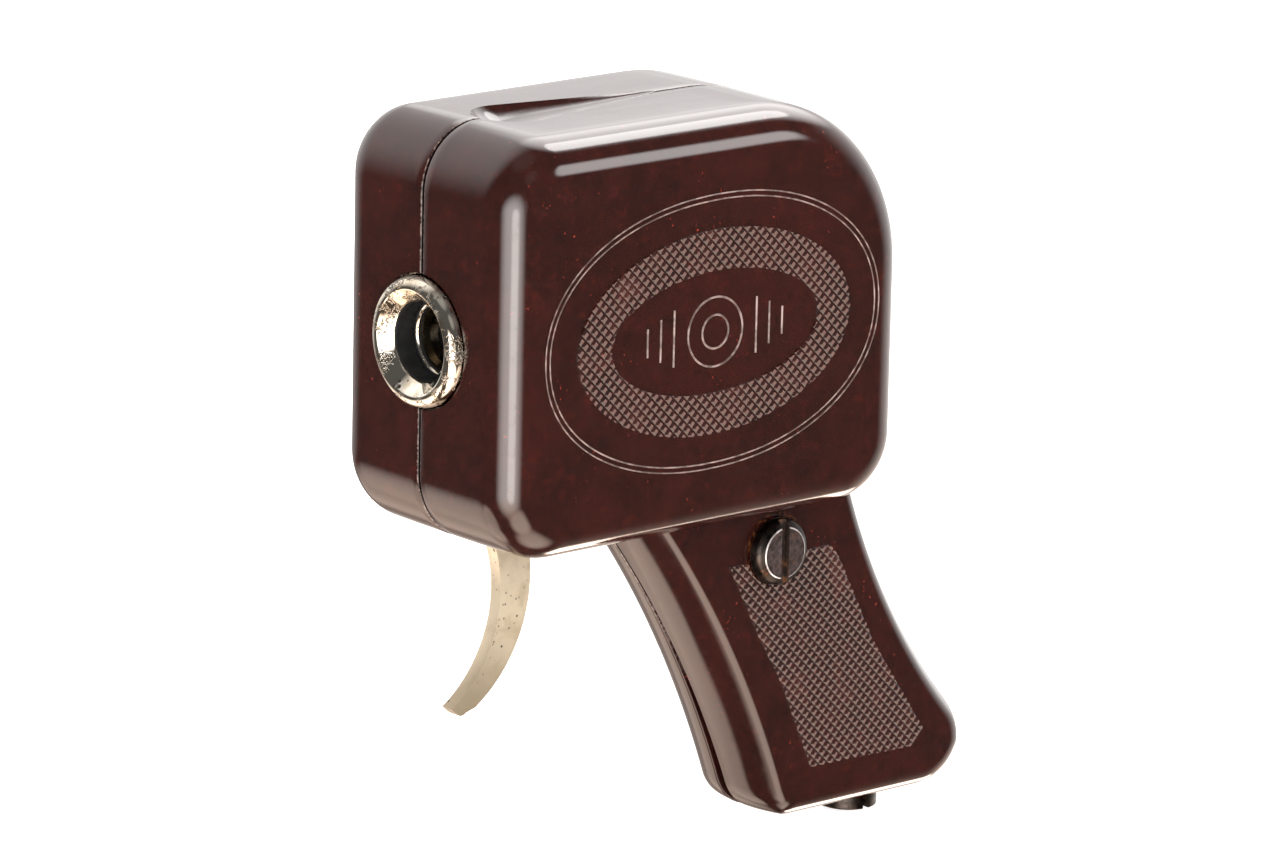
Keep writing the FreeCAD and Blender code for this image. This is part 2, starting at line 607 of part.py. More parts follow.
def plate_screw(at, side):
    """A slotted screw holding a side plate, on the side (+1 or -1) of the camera."""
    x = side * (CAM_HALF + PLATE_T)
    shank = cyl_x(at, PLATE_SCREW_R, *sorted((side * (CAM_HALF + 0.01), x)))
    head = cyl_x(at, 1.6, *sorted((x, x + side * 0.7)))
    slot_x = sorted((x + side * 0.35, x + side * 2))
    slot = box(*slot_x, at[0] - 0.2, at[0] + 0.2, at[1] - 3, at[1] + 3)
    return fuse([shank, head.cut(slot)])


def make_side_plates():
    holes = [cyl_x(PIVOT, SHAFT_R + FIT, -30, 30), cyl_x(WIND_AT, SPINDLE_R + FIT, -30, 30)]
    holes += [cyl_x((SPOOL_Y, SPOOL_Z), SPINDLE_R, -30, 30), cyl_x(STOP_PIN_AT, STOP_PIN_R, -30, 0)]
    holes += [cyl_x(at, PLATE_SCREW_R + 0.02, -30, 30) for at in PLATE_SCREWS]
    holes.append(cyl_x(PAWL_AT, PAWL_BORE_R, -30, 0))
    holes = fuse(holes)
    for name, x0 in (("side_plate_left", CAM_HALF), ("side_plate_right", -CAM_HALF - PLATE_T)):
        add(name, prism_x(PLATE_OUTLINE, x0, x0 + PLATE_T).cut(holes))
    screws = [plate_screw(at, side) for at in PLATE_SCREWS for side in (1, -1)]
    add("plate_screws", Part.makeCompound(screws))


def make_shutter():
    plate = box(*COVER_X, *COVER_Y, *COVER_Z).cut(cyl_y(0, 0, PORT_R, 0, 30))
    cover = [plate]
    bores = []
    screws = []
    for x, z in COVER_SCREWS:
        cover.append(cyl_y(x, z, 1.2, COVER_Y[1], CAM_FRONT))
        bores.append(cyl_y(x, z, 0.7, 0, 30))
        shank = cyl_y(x, z, 0.68, COVER_Y[0] - 0.1, CAM_FRONT - 0.1)
        head = cyl_y(x, z, 1.3, COVER_Y[0] - 0.8, COVER_Y[0])
        screws.append(fuse([shank, head]))
    add("shutter_cover", fuse(cover).cut(fuse(bores)))
    add("cover_screws", Part.makeCompound(screws))

    cx, cz = SHUTTER_AT
    slot_angle = math.atan2(-cz, -cx) + SHUTTER_SWEEP
    reach = math.hypot(cx, cz)
    bore = cyl_y(cx, cz, STUD_R + FIT, 0, 30)
    opening = cyl_y(cx + reach * math.cos(slot_angle), cz + reach * math.sin(slot_angle), 1.3, 0, 30)
    add("shutter_disc", cyl_y(cx, cz, SHUTTER_R, *DISC_Y).cut(bore).cut(opening))
    gear = prism_y(turned(gear_profile(SHUTTER_TEETH), 0.0, SHUTTER_AT), *ROD_Y)
    hub = cyl_y(cx, cz, 2.2, DISC_Y[1], ROD_Y[0])
    add("shutter_pinion", fuse([gear, hub]).cut(bore))
    add("shutter_stud", cyl_y(cx, cz, STUD_R, 14.9, CAM_FRONT + 1.4))
    add("release_rod", release_rod())


def release_rod():
    """The rack that turns the shutter, with the eye that the trigger's arm works in."""
    pitch = math.pi * MODULE
    pitch_x = SHUTTER_AT[0] + MODULE * SHUTTER_TEETH / 2
    slope = math.tan(math.radians(20))
    half = pitch / 4 - 0.06
    root_x = ROD_X[0] + 0.01
    tip_x = pitch_x - 0.8 * MODULE
    root_half = half + (root_x - pitch_x) * slope
    tip_half = half - 0.8 * MODULE * slope
    pin_z = PIVOT[1] + ARM_LENGTH * math.sin(ARM_ANGLE)
    rod = [box(*ROD_X, *ROD_Y, ROD_EYE_TOP - 0.5, ROD_TOP)]
    rod.append(box(*ROD_X, 15.0, 18.4, pin_z - 1.8, ROD_EYE_TOP))
    for k in range(-4, 3):
        z = SHUTTER_AT[1] + (k + 0.5) * pitch
        tooth = [(root_x, z - root_half), (tip_x, z - tip_half)]
        tooth += [(tip_x, z + tip_half), (root_x, z + root_half)]
        rod.append(prism_y(tooth, *ROD_Y))
    eye = box(0, 20, 15.8, 17.6, pin_z - ARM_PIN_R - 0.1, pin_z + ARM_PIN_R + 0.1)
    return fuse(rod).cut(eye)


def main():
    make_case()
    make_case_screw()
    make_tripod_bush()
    make_optics()
    make_trigger()
    make_winding()
    make_spools()
    make_camera()
    make_side_plates()
    make_shutter()
    os.makedirs("parts", exist_ok=True)
    for name, shape in PARTS.items():
        print(f"{name}: {shape.Volume:.1f} mm3, {len(shape.Solids)} solid(s), valid {shape.isValid()}")
        shape.exportStep(f"parts/{name}.step")


main()
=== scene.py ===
"""Looks of a pistol-shaped miniature roll-film camera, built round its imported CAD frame.

Lengths in this file are in millimetres unless a name says otherwise; meshes are in metres.
X runs across the case, Y from the lens to the back, Z up, with the origin on the lens axis.
"""
import json
import math

import bmesh
import bpy
from mathutils import Matrix, Vector


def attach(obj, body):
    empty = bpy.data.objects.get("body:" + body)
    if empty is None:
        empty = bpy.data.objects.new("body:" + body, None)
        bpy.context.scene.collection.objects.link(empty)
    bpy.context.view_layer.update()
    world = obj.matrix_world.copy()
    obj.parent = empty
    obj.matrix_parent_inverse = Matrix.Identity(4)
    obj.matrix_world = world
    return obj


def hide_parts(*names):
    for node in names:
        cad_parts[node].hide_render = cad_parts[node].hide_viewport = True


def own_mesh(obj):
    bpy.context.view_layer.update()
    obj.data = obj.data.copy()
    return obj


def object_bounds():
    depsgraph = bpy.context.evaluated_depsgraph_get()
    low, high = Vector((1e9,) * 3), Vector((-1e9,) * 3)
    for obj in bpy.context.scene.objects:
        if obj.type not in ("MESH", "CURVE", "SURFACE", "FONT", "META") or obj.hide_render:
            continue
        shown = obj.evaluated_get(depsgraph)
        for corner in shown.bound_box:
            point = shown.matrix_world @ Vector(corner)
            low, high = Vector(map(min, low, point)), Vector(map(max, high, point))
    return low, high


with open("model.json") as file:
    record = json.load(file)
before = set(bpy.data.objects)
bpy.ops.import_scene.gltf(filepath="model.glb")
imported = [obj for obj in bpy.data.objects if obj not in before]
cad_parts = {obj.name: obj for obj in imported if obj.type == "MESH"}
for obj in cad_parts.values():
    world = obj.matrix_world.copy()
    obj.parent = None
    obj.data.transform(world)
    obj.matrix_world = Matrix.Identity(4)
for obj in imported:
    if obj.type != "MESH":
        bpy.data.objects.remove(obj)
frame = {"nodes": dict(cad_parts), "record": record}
cad_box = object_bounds()
MM = 0.001

# ---------------------------------------------------------------- sizes
SKIN = 0.05          # how far the finished surface stays inside the CAD surface
CASE_LENGTH = 80.3
CASE_TOP = 33.0
CASE_BOTTOM = -32.3
CASE_HALF = 20.8
CASE_EDGE_R = 6.6
CASE_CROWN = 0.12
CORNERS = (  # (y side, z side, radius): walked from the lower front corner
    (0, 0, 12.0),
    (1, 0, 11.0),
    (1, 1, 27.7),
    (0, 1, 10.3),
)
SEAM_X = 0.17
SEAM_LIP = ((0.0, 0.42), (0.05, 0.22), (0.15, 0.08), (0.33, 0.0))  # (past SEAM_X, below the wall)
SEAM_LIP_END = 0.5
CORNER_STEPS = 20
SIDE_STEPS = 12
CROWN_STEPS = 10
EDGE_STEPS = 16

GRIP_HALF = 9.9
GRIP_BASE = -85.3
GRIP_TOP = -21.0
GRIP_FRONT = ((-96.9, -138.4), 169.3)
GRIP_REAR = ((191.3, 3.9), 114.4)
GRIP_CROWN_R = 13.5
GRIP_EDGE_R = 2.8
TOE_FRONT_R = 8.5
TOE_REAR_R = 9.2
TOE_TAPER = 0.75     # how fast the toes' radius shrinks towards the grip's side
GAPE_TOP = -42.0
GAPE = 0.7
GRIP_CURVE_STEPS = 40
GRIP_BASE_STEPS = 8
GRIP_CROWN_STEPS = 12
GRIP_EDGE_STEPS = 10
TOE_STEPS = 16

OVAL_CENTRE = (40.5, 0.0)
OVAL_TILT = math.radians(1.2)
RIM_OVAL = (33.2, 21.3)
BAND_OVAL = (27.1, 15.9)
CORE_OVAL = (20.5, 9.5)
OVAL_POWER = 2.12
OVAL_STEPS = 160
RIM_STEPS = 240
RIM_LINES = ((0.0, 0.14), (0.85, 0.10))  # (inside the rim oval, height)
RIM_LINE_WIDTH = 0.24
MARK_WIDTH = 0.36
MARK_HEIGHT = 0.2
SYMBOL_RINGS = (5.4, 2.6)
SYMBOL_BARS = (4.4, 3.3, 2.2)
SYMBOL_BAR_START = 8.2
SYMBOL_BAR_PITCH = 2.6
SIDE_DIAMOND = (1.82, 1.81)
SIDE_DIAMOND_TOP = 0.46
GRIP_DIAMOND = (1.75, 1.76)
GRIP_DIAMOND_TOP = 0.36
GRIP_DIAMOND_TURN = math.radians(1.7)
KNURL_HEIGHT = 0.27
KNURL_VALLEY = 0.02
KNURL_BACK = 0.4
PANEL_CENTRE = (75.0, -60.0)
PANEL_REACH = (22.0, 19.0)
PANEL = (
    (54.1, -41.7), (74.8, -41.2), (76.6, -43.2), (84.5, -58.4), (95.8, -74.8),
    (93.4, -77.3), (72.0, -77.0), (69.8, -72.1), (65.4, -62.2), (60.4, -53.8),
)

SCREW_AT = (63.3, -40.2)
SCREW_CLEAR_R = 5.55
SCREW_HEAD_BACK = GRIP_HALF + 0.36
SCREW_HEAD_H = 2.26
SCREW_SLOT_HALF = 0.8
SCREW_SLOT_FLOOR = 1.15
THREAD_PITCH = 0.7
BUSH_Y = 88.9
BUSH_BOTTOM = -88.27
BUSH_SLOT_HALF = 0.68
BUSH_SLOT_DEPTH = 0.98
BUSH_THREAD_PITCH = 1.27
RING_LIP_Y = -1.98
RING_LIP_R = 8.68
RING_ARC = (1.49, 2.5)  # the shoulder's radius across and along the lens axis
RING_ARC_STEPS = 8
PIVOT = (21.0, -26.3)
TRIGGER_FRONT = ((-5.45, -40.94), 20.94)
TRIGGER_REAR = ((-1.93, -39.31), 23.26)
TRIGGER_HALF = 1.19
TRIGGER_HUB_R = 2.78
TRIGGER_BORE_R = 1.27
TRIGGER_STEPS = 26
TRIGGER_TIP = ((0.0, 8.5, -60.0), 3.0, 16.0)  # dull zone: (point, radius, fade)
AMBIENT = 0.10
FLOOR_R = 14.0       # metres
WELD = 4e-6          # metres


# ---------------------------------------------------------------- mesh helpers
def mesh_object(name, bm):
    """A new object from a bmesh, with its faces turned outwards."""
    bmesh.ops.recalc_face_normals(bm, faces=bm.faces)
    me = bpy.data.meshes.new(name)
    bm.to_mesh(me)
    bm.free()
    ob = bpy.data.objects.new(name, me)
    bpy.context.scene.collection.objects.link(ob)
    return ob


def loft(rings, cap=True):
    """A closed skin over rings of points (in millimetres), with an n-gon at each end."""
    bm = bmesh.new()
    rows = [[bm.verts.new(Vector(p) * MM) for p in ring] for ring in rings]
    count = len(rows[0])
    for a, b in zip(rows, rows[1:]):
        for k in range(count):
            bm.faces.new((a[k], a[(k + 1) % count], b[(k + 1) % count], b[k]))
    if cap:
        bm.faces.new(rows[0][::-1])
        bm.faces.new(rows[-1])
    return bm


def smooth(ob, angle):
    """Smooth shading, with edges sharper than the angle kept crisp."""
    me = ob.data
    bm = bmesh.new()
    bm.from_mesh(me)
    limit = math.radians(angle)
    for face in bm.faces:
        face.smooth = True
    for edge in bm.edges:
        edge.smooth = len(edge.link_faces) == 2 and edge.calc_face_angle(0) < limit
    bm.to_mesh(me)
    bm.free()


def apply_modifiers(ob):
    """Replaces ob's mesh by what its modifiers make of it."""
    dg = bpy.context.evaluated_depsgraph_get()
    me = bpy.data.meshes.new_from_object(ob.evaluated_get(dg))
    old = ob.data
    ob.modifiers.clear()
    ob.data = me
    bpy.data.meshes.remove(old)


def boolean(ob, other, operation):
    """Joins, cuts or intersects ob with other, and removes other."""
    mod = ob.modifiers.new("boolean", "BOOLEAN")
    mod.operation = operation
    mod.solver = "EXACT"
    mod.object = other
    bpy.context.view_layer.update()
    apply_modifiers(ob)
    bpy.data.objects.remove(other)
    return ob


def bevel(ob, width, segments, angle):
    """Rounds the edges sharper than the angle."""
    mod = ob.modifiers.new("bevel", "BEVEL")
    mod.width = width * MM
    mod.segments = segments
    mod.limit_method = "ANGLE"
    mod.angle_limit = math.radians(angle)
    mod.use_clamp_overlap = True
    apply_modifiers(ob)


def join(ob, *others):
    """Adds the meshes of others to ob's mesh, as further islands of the same piece."""
    bm = bmesh.new()
    bm.from_mesh(ob.data)
    for other in others:
        bm.from_mesh(other.data)
        bpy.data.objects.remove(other)
    bm.to_mesh(ob.data)
    bm.free()
    return ob


def duplicate(ob, name):
    """A copy of ob with a mesh of its own."""
    copy = ob.copy()
    copy.data = ob.data.copy()
    copy.name = name
    bpy.context.scene.collection.objects.link(copy)
    return copy


def weld(ob, distance):
    """Merges points closer than the distance (in metres) and drops what collapses."""
    bm = bmesh.new()
    bm.from_mesh(ob.data)
    bmesh.ops.remove_doubles(bm, verts=bm.verts, dist=distance)
    bmesh.ops.dissolve_degenerate(bm, edges=bm.edges, dist=distance / 2)
    bm.to_mesh(ob.data)
    bm.free()


def merge_points(ob, distance):
    """Merges points closer than the distance (in metres)."""
    bm = bmesh.new()
    bm.from_mesh(ob.data)
    bmesh.ops.remove_doubles(bm, verts=bm.verts, dist=distance)
    bm.to_mesh(ob.data)
    bm.free()


def mirrored(ob, name):
    """A copy of ob on the other side of the middle plane."""
    copy = duplicate(ob, name)
    copy.data.transform(Matrix.Scale(-1, 4, Vector((1, 0, 0))))
    copy.data.flip_normals()
    return copy


def cad_copy(node, name):
    """A welded copy of a CAD node's mesh, to build with."""
    bm = bmesh.new()
    bm.from_mesh(frame["nodes"][node].data)
    bmesh.ops.remove_doubles(bm, verts=bm.verts, dist=2e-6)
    return mesh_object(name, bm)


# ---------------------------------------------------------------- case halves
def arc(centre, r, a0, a1, steps):
    """Points (y, z) round an arc, both ends included."""
    points = []
    for k in range(steps + 1):
        a = a0 + (a1 - a0) * k / steps
        points.append((centre[0] + r * math.cos(a), centre[1] + r * math.sin(a)))
    return points


def body_outline(inset):
    """The case's side outline, a rectangle with four different round corners, shrunk by inset."""
    lo = (inset, CASE_BOTTOM + inset)
    hi = (CASE_LENGTH - inset, CASE_TOP - inset)
    corner_arcs = []
    for k, (sy, sz, r) in enumerate(CORNERS):
        r -= inset
        centre = ((hi[0] - r) if sy else (lo[0] + r), (hi[1] - r) if sz else (lo[1] + r))
        start = math.pi + k * math.pi / 2
        corner_arcs.append(arc(centre, r, start, start + math.pi / 2, CORNER_STEPS))
    outline = []
    for k, points in enumerate(corner_arcs):
        outline += points
        nxt = corner_arcs[(k + 1) % 4][0]
        last = points[-1]
        for step in range(1, SIDE_STEPS):
            t = step / SIDE_STEPS
            outline.append((last[0] + (nxt[0] - last[0]) * t, last[1] + (nxt[1] - last[1]) * t))
    return outline


def case_stations():
    """(x, inset) pairs from the seam's rounded lip, over the crowned wall and round the side edge."""
    straight = CASE_HALF - SKIN - CASE_EDGE_R
    stations = [(SEAM_X + dx, SKIN + inset) for dx, inset in SEAM_LIP]
    for k in range(1, CROWN_STEPS + 1):
        x = SEAM_LIP_END + (straight - SEAM_LIP_END) * k / CROWN_STEPS
        stations.append((x, SKIN + CASE_CROWN * (x / straight) ** 2))
    for k in range(1, EDGE_STEPS + 1):
        a = math.pi / 2 * k / EDGE_STEPS
        inset = SKIN + CASE_CROWN + CASE_EDGE_R * (1 - math.cos(a))
        stations.append((straight + CASE_EDGE_R * math.sin(a), inset))
    return stations


def grip_curve(curve, side, z, inset):
    """y of the grip's front or rear curve at height z."""
    (cy, cz), r = curve
    return cy + side * math.sqrt((r + inset) ** 2 - (z - cz) ** 2)


def grip_outline(inset, base_inset):
    """The grip's side outline: curved front and rear, a flat base, and a rounded toe at each end of it."""
    base = GRIP_BASE + base_inset
    points = []
    toes = []
    for curve, side, toe in ((GRIP_FRONT, 1, TOE_FRONT_R), (GRIP_REAR, -1, TOE_REAR_R)):
        (cy, cz), r = curve
        r += inset
        rho = toe - TOE_TAPER * inset
        centre_z = base + rho
        centre_y = cy + side * math.sqrt((r + rho) ** 2 - (centre_z - cz) ** 2)
        toward = math.atan2(cz - centre_z, cy - centre_y)
        toes.append((centre_y, centre_z, rho, toward))
    z_touch = [t[1] + t[2] * math.sin(t[3]) for t in toes]
    for k in range(GRIP_CURVE_STEPS):
        z = GRIP_TOP + (z_touch[0] - GRIP_TOP) * k / GRIP_CURVE_STEPS
        points.append((grip_curve(GRIP_FRONT, 1, z, inset), z))
    y0, z0, rho0, a0 = toes[0]
    points += arc((y0, z0), rho0, a0 if a0 > 0 else a0 + 2 * math.pi, 1.5 * math.pi, TOE_STEPS)
    y1, z1, rho1, a1 = toes[1]
    for k in range(1, GRIP_BASE_STEPS):
        points.append((y0 + (y1 - y0) * k / GRIP_BASE_STEPS, base))
    points += arc((y1, z1), rho1, -math.pi / 2, a1, TOE_STEPS)
    for k in range(1, GRIP_CURVE_STEPS + 1):
        z = z_touch[1] + (GRIP_TOP - z_touch[1]) * k / GRIP_CURVE_STEPS
        points.append((grip_curve(GRIP_REAR, -1, z, inset), z))
    return points


def grip_stations():
    """(x, front and rear inset, base inset) from the seam over the crowned faces to the flat side."""
    half = GRIP_HALF - SKIN
    tilt = math.asin((half - GRIP_EDGE_R) / (GRIP_CROWN_R - GRIP_EDGE_R))
    x_touch = GRIP_CROWN_R * math.sin(tilt)
    x_centre = half - GRIP_EDGE_R
    sag_centre = GRIP_CROWN_R - (GRIP_CROWN_R - GRIP_EDGE_R) * math.cos(tilt)

    def base_inset(x):
        return GRIP_EDGE_R - math.sqrt(max(0.0, GRIP_EDGE_R ** 2 - max(0.0, x - x_centre) ** 2))

    stations = []
    for dx, inset in SEAM_LIP:
        stations.append((SEAM_X + dx, inset, inset))
    for k in range(1, GRIP_CROWN_STEPS + 1):
        x = SEAM_LIP_END + (x_touch - SEAM_LIP_END) * k / GRIP_CROWN_STEPS
        stations.append((x, GRIP_CROWN_R - math.sqrt(GRIP_CROWN_R ** 2 - x * x), base_inset(x)))
    for k in range(1, GRIP_EDGE_STEPS + 1):
        a = tilt + (math.pi / 2 - tilt) * k / GRIP_EDGE_STEPS
        x = x_centre + GRIP_EDGE_R * math.sin(a)
        stations.append((x, sag_centre - GRIP_EDGE_R * math.cos(a), base_inset(x)))
    return [(x, a + SKIN, b + SKIN) for x, a, b in stations]


def grip_gape(x, z):
    """Moves the seam face outwards low on the grip, where the halves stand apart."""
    opening = GAPE * min(1.0, max(0.0, (GAPE_TOP - z) / (GAPE_TOP - GRIP_BASE)))
    return x + opening * (1 - x / GRIP_HALF)


def half_case():
    """The left half's outer form, closed and solid."""
    body = loft([[(x, y, z) for y, z in body_outline(inset)] for x, inset in case_stations()])
    body = mesh_object("half_case", body)
    rings = [[(grip_gape(x, z), y, z) for y, z in grip_outline(a, b)] for x, a, b in grip_stations()]
    grip = mesh_object("half_grip", loft(rings))
    return boolean(body, grip, "UNION")


# ---------------------------------------------------------------- moulded relief
def superellipse(size, power, steps):
    """Points (y, z) of a tilted oval on the case's side; a power of 2 makes it an ellipse."""
    cos_tilt, sin_tilt = math.cos(OVAL_TILT), math.sin(OVAL_TILT)
    points = []
    for k in range(steps):
        t = 2 * math.pi * k / steps
        c, s = math.cos(t), math.sin(t)
        y = size[0] * math.copysign(abs(c) ** (2 / power), c)
        z = size[1] * math.copysign(abs(s) ** (2 / power), s)
        across = OVAL_CENTRE[0] + y * cos_tilt - z * sin_tilt
        points.append((across, OVAL_CENTRE[1] + y * sin_tilt + z * cos_tilt))
    return points


def prism(name, outline, x0, x1):
    """The outline's (y, z) points carried from x0 to x1."""
    return mesh_object(name, loft([[(x, y, z) for y, z in outline] for x in (x0, x1)]))


def knurled_slab(name, size, centre, reach, face_x, turn, flat):
    """A closed slab of diamonds, size (length, height) each, over a rectangle of half-sizes reach.

    Each diamond rises to a flat top that is smaller than its foot by the factor flat.
    """
    a, b = size[0] / 2, size[1] / 2
    cols = int(reach[0] / a) + 2
    rows = int(reach[1] / b) + 2
    cos_t, sin_t = math.cos(turn), math.sin(turn)
    bm = bmesh.new()
    corners = {}

    def vert(y, z, x):
        place = Vector((x, centre[0] + y * cos_t - z * sin_t, centre[1] + y * sin_t + z * cos_t))
        return bm.verts.new(place * MM)

    def corner(i, j):
        if (i, j) not in corners:
            corners[i, j] = vert(i * a, j * b, face_x - KNURL_VALLEY)
        return corners[i, j]

    for i in range(-cols, cols + 1):
        for j in range(-rows, rows + 1):
            if (i + j) % 2:
                continue
            low = [corner(i + 1, j), corner(i, j + 1), corner(i - 1, j), corner(i, j - 1)]
            high = []
            for di, dj in ((1, 0), (0, 1), (-1, 0), (0, -1)):
                high.append(vert((i + di * flat) * a, (j + dj * flat) * b, face_x + KNURL_HEIGHT))
            bm.faces.new(high)
            for k in range(4):
                bm.faces.new((low[k], low[(k + 1) % 4], high[(k + 1) % 4], high[k]))
    edges = [e for e in bm.edges if len(e.link_faces) == 1]
    result = bmesh.ops.extrude_edge_only(bm, edges=edges)
    down = [g for g in result["geom"] if isinstance(g, bmesh.types.BMVert)]
    for v in down:
        v.co.x = (face_x - KNURL_BACK) * MM
    rim = [g for g in result["geom"] if isinstance(g, bmesh.types.BMEdge)]
    bmesh.ops.contextual_create(bm, geom=rim)
    return mesh_object(name, bm)


def side_relief():
    """The left side's knurled oval band, its double outer line and the lens symbol at its centre."""
    face_x = CASE_HALF - SKIN
    band = knurled_slab("band", SIDE_DIAMOND, OVAL_CENTRE, BAND_OVAL, face_x, OVAL_TILT, SIDE_DIAMOND_TOP)
    keep = prism("keep", superellipse(BAND_OVAL, 2.0, OVAL_STEPS), face_x - 0.2, face_x + 2)
    drop = prism("drop", superellipse(CORE_OVAL, 2.0, OVAL_STEPS), face_x - 1, face_x + 3)
    band = boolean(band, boolean(keep, drop, "DIFFERENCE"), "INTERSECT")
    pieces = []
    for shrink, height in RIM_LINES:
        path = superellipse([s - shrink for s in RIM_OVAL], OVAL_POWER, RIM_STEPS)
        pieces.append(raised_line("rim", path, RIM_LINE_WIDTH, height, face_x))
    pieces += lens_symbol(face_x)
    return band, join(pieces[0], *pieces[1:])


def raised_line(name, path, width, height, face_x, closed=True):
    """A fine moulded line, round on top, along a path of (y, z) points on a face."""
    rising = ((-0.5, -0.4), (-0.5, 0.0), (-0.36, 0.55), (-0.16, 0.92))
    section = rising + ((0.0, 1.0),) + tuple((-across, up) for across, up in reversed(rising))
    rings = []
    count = len(path)
    for k, (y, z) in enumerate(path):
        before = path[k - 1] if closed or k else path[0]
        after = path[(k + 1) % count] if closed or k < count - 1 else path[-1]
        along = Vector((after[0] - before[0], after[1] - before[1])).normalized()
        ring = []
        for across, up in section:
            drop = height * up if up >= 0 else up
            ring.append((face_x + drop, y - along.y * across * width, z + along.x * across * width))
        rings.append(ring)
    if closed:
        rings.append(rings[0])
        bm = loft(rings, cap=False)
        bmesh.ops.remove_doubles(bm, verts=bm.verts, dist=1e-7)
        return mesh_object(name, bm)
    return mesh_object(name, loft(rings))


def circle(centre, r, steps=64):
    """Points (y, z) round a circle."""
    angles = [2 * math.pi * k / steps for k in range(steps)]
    return [(centre[0] + r * math.cos(a), centre[1] + r * math.sin(a)) for a in angles]


def lens_symbol(face_x):
    """A plain line drawing of a lens: two rings, with a row of bars on each side."""
    pieces = []
    for r in SYMBOL_RINGS:
        pieces.append(raised_line("mark", circle(OVAL_CENTRE, r), MARK_WIDTH, MARK_HEIGHT, face_x))
    for side in (-1, 1):
        for k, reach in enumerate(SYMBOL_BARS):
            y = OVAL_CENTRE[0] + side * (SYMBOL_BAR_START + SYMBOL_BAR_PITCH * k)
            bar = [(y, -reach), (y, 0.0), (y, reach)]
            pieces.append(raised_line("mark", bar, MARK_WIDTH, MARK_HEIGHT, face_x, closed=False))
    return pieces


def grip_relief(with_screw):
    """The knurled panel on the side of the grip, cut away round the screw head on the left side."""
    face_x = GRIP_HALF - SKIN
    turn, flat = GRIP_DIAMOND_TURN, GRIP_DIAMOND_TOP
    slab = knurled_slab("panel", GRIP_DIAMOND, PANEL_CENTRE, PANEL_REACH, face_x, turn, flat)
    keep = prism("keep", PANEL, face_x - 0.2, face_x + 2)
    if with_screw:
        clear = prism("screw_clear", circle(SCREW_AT, SCREW_CLEAR_R), face_x - 1, face_x + 3)
        boolean(keep, clear, "DIFFERENCE")
    return boolean(slab, keep, "INTERSECT")


def knurl_faces(ob):
    """Marks the slopes of a knurled mesh for the second material and its flat tops for the third."""
    for polygon in ob.data.polygons:
        polygon.material_index = 2 if abs(polygon.normal.x) > 0.9 else 1
    return ob


def highlight_crest_faces(ob):
    """Marks fine raised lines to take the fourth material, whose paler crest colour is a painted highlight.
    """
    for polygon in ob.data.polygons:
        polygon.material_index = 3
    return ob


def make_shells():
    """The two case halves: formed outside, the CAD's own surfaces inside, with the relief joined on."""
    half = half_case()
    oval_band, oval_lines = side_relief()
    halves = (
        ("left_case_half", "left_shell", "left_case", False, grip_relief(True)),
        ("right_case_half", "right_shell", "camera", True, grip_relief(False)),
    )
    for name, node, body, mirror, panel in halves:
        parts = [half, knurl_faces(oval_band), highlight_crest_faces(oval_lines), knurl_faces(panel)]
        copy = mirrored if mirror else duplicate
        parts = [copy(part, name + "_part") for part in parts]
        shell = boolean(parts[0], cad_copy(node, "cad_" + node), "INTERSECT")
        shell.name = name
        weld(shell, WELD)
        join(shell, *parts[1:])
        smooth(shell, 26)
        finish_piece(shell, body, "bakelite", (node,))
        for extra in ("bakelite_slope", "bakelite_top_painted_sheen", "bakelite_edge_painted_highlight"):
            shell.data.materials.append(MATERIALS[extra])
        bpy.data.objects.remove(panel)
    for ob in (half, oval_band, oval_lines):
        bpy.data.objects.remove(ob)


def finish_piece(ob, body, slot, nodes=()):
    """Gives a piece its material and its body, and hides the CAD nodes that it stands for."""
    indices = [polygon.material_index for polygon in ob.data.polygons]
    ob.data.materials.clear()
    ob.data.materials.append(MATERIALS[slot])
    for polygon, index in zip(ob.data.polygons, indices):
        polygon.material_index = index
    if nodes:
        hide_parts(*nodes)
    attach(ob, body)


# ---------------------------------------------------------------- turned and small pieces
def lathe(name, profile, steps):
    """A piece turned about the lens axis from a closed profile of (radius, y) points."""
    bm = bmesh.new()
    rows = []
    for k in range(steps):
        a = 2 * math.pi * k / steps
        points = [Vector((r * math.cos(a), y, r * math.sin(a))) * MM for r, y in profile]
        rows.append([bm.verts.new(point) for point in points])
    count = len(profile)
    for k in range(steps):
        a, b = rows[k], rows[(k + 1) % steps]
        for j in range(count):
            bm.faces.new((a[j], a[(j + 1) % count], b[(j + 1) % count], b[j]))
    return mesh_object(name, bm)


def rounded_profile(points, radii, steps=4):
    """A closed profile with each corner that has a radius turned into a curve of short steps."""
    out = []
    count = len(points)
    for k, point in enumerate(points):
        p = Vector(point)
        a = Vector(points[k - 1]) - p
        b = Vector(points[(k + 1) % count]) - p
        reach = min(radii[k], a.length * 0.45, b.length * 0.45)
        if reach <= 0:
            out.append((p.x, p.y))
            continue
        start = p + a.normalized() * reach
        end = p + b.normalized() * reach
        for j in range(steps + 1):
            t = j / steps
            q = start * (1 - t) ** 2 + p * 2 * t * (1 - t) + end * t ** 2
            out.append((q.x, q.y))
    return out


def off_axis(point):
    """Distance of a point from the lens axis, in millimetres."""
    return math.hypot(point.x, point.z) / MM


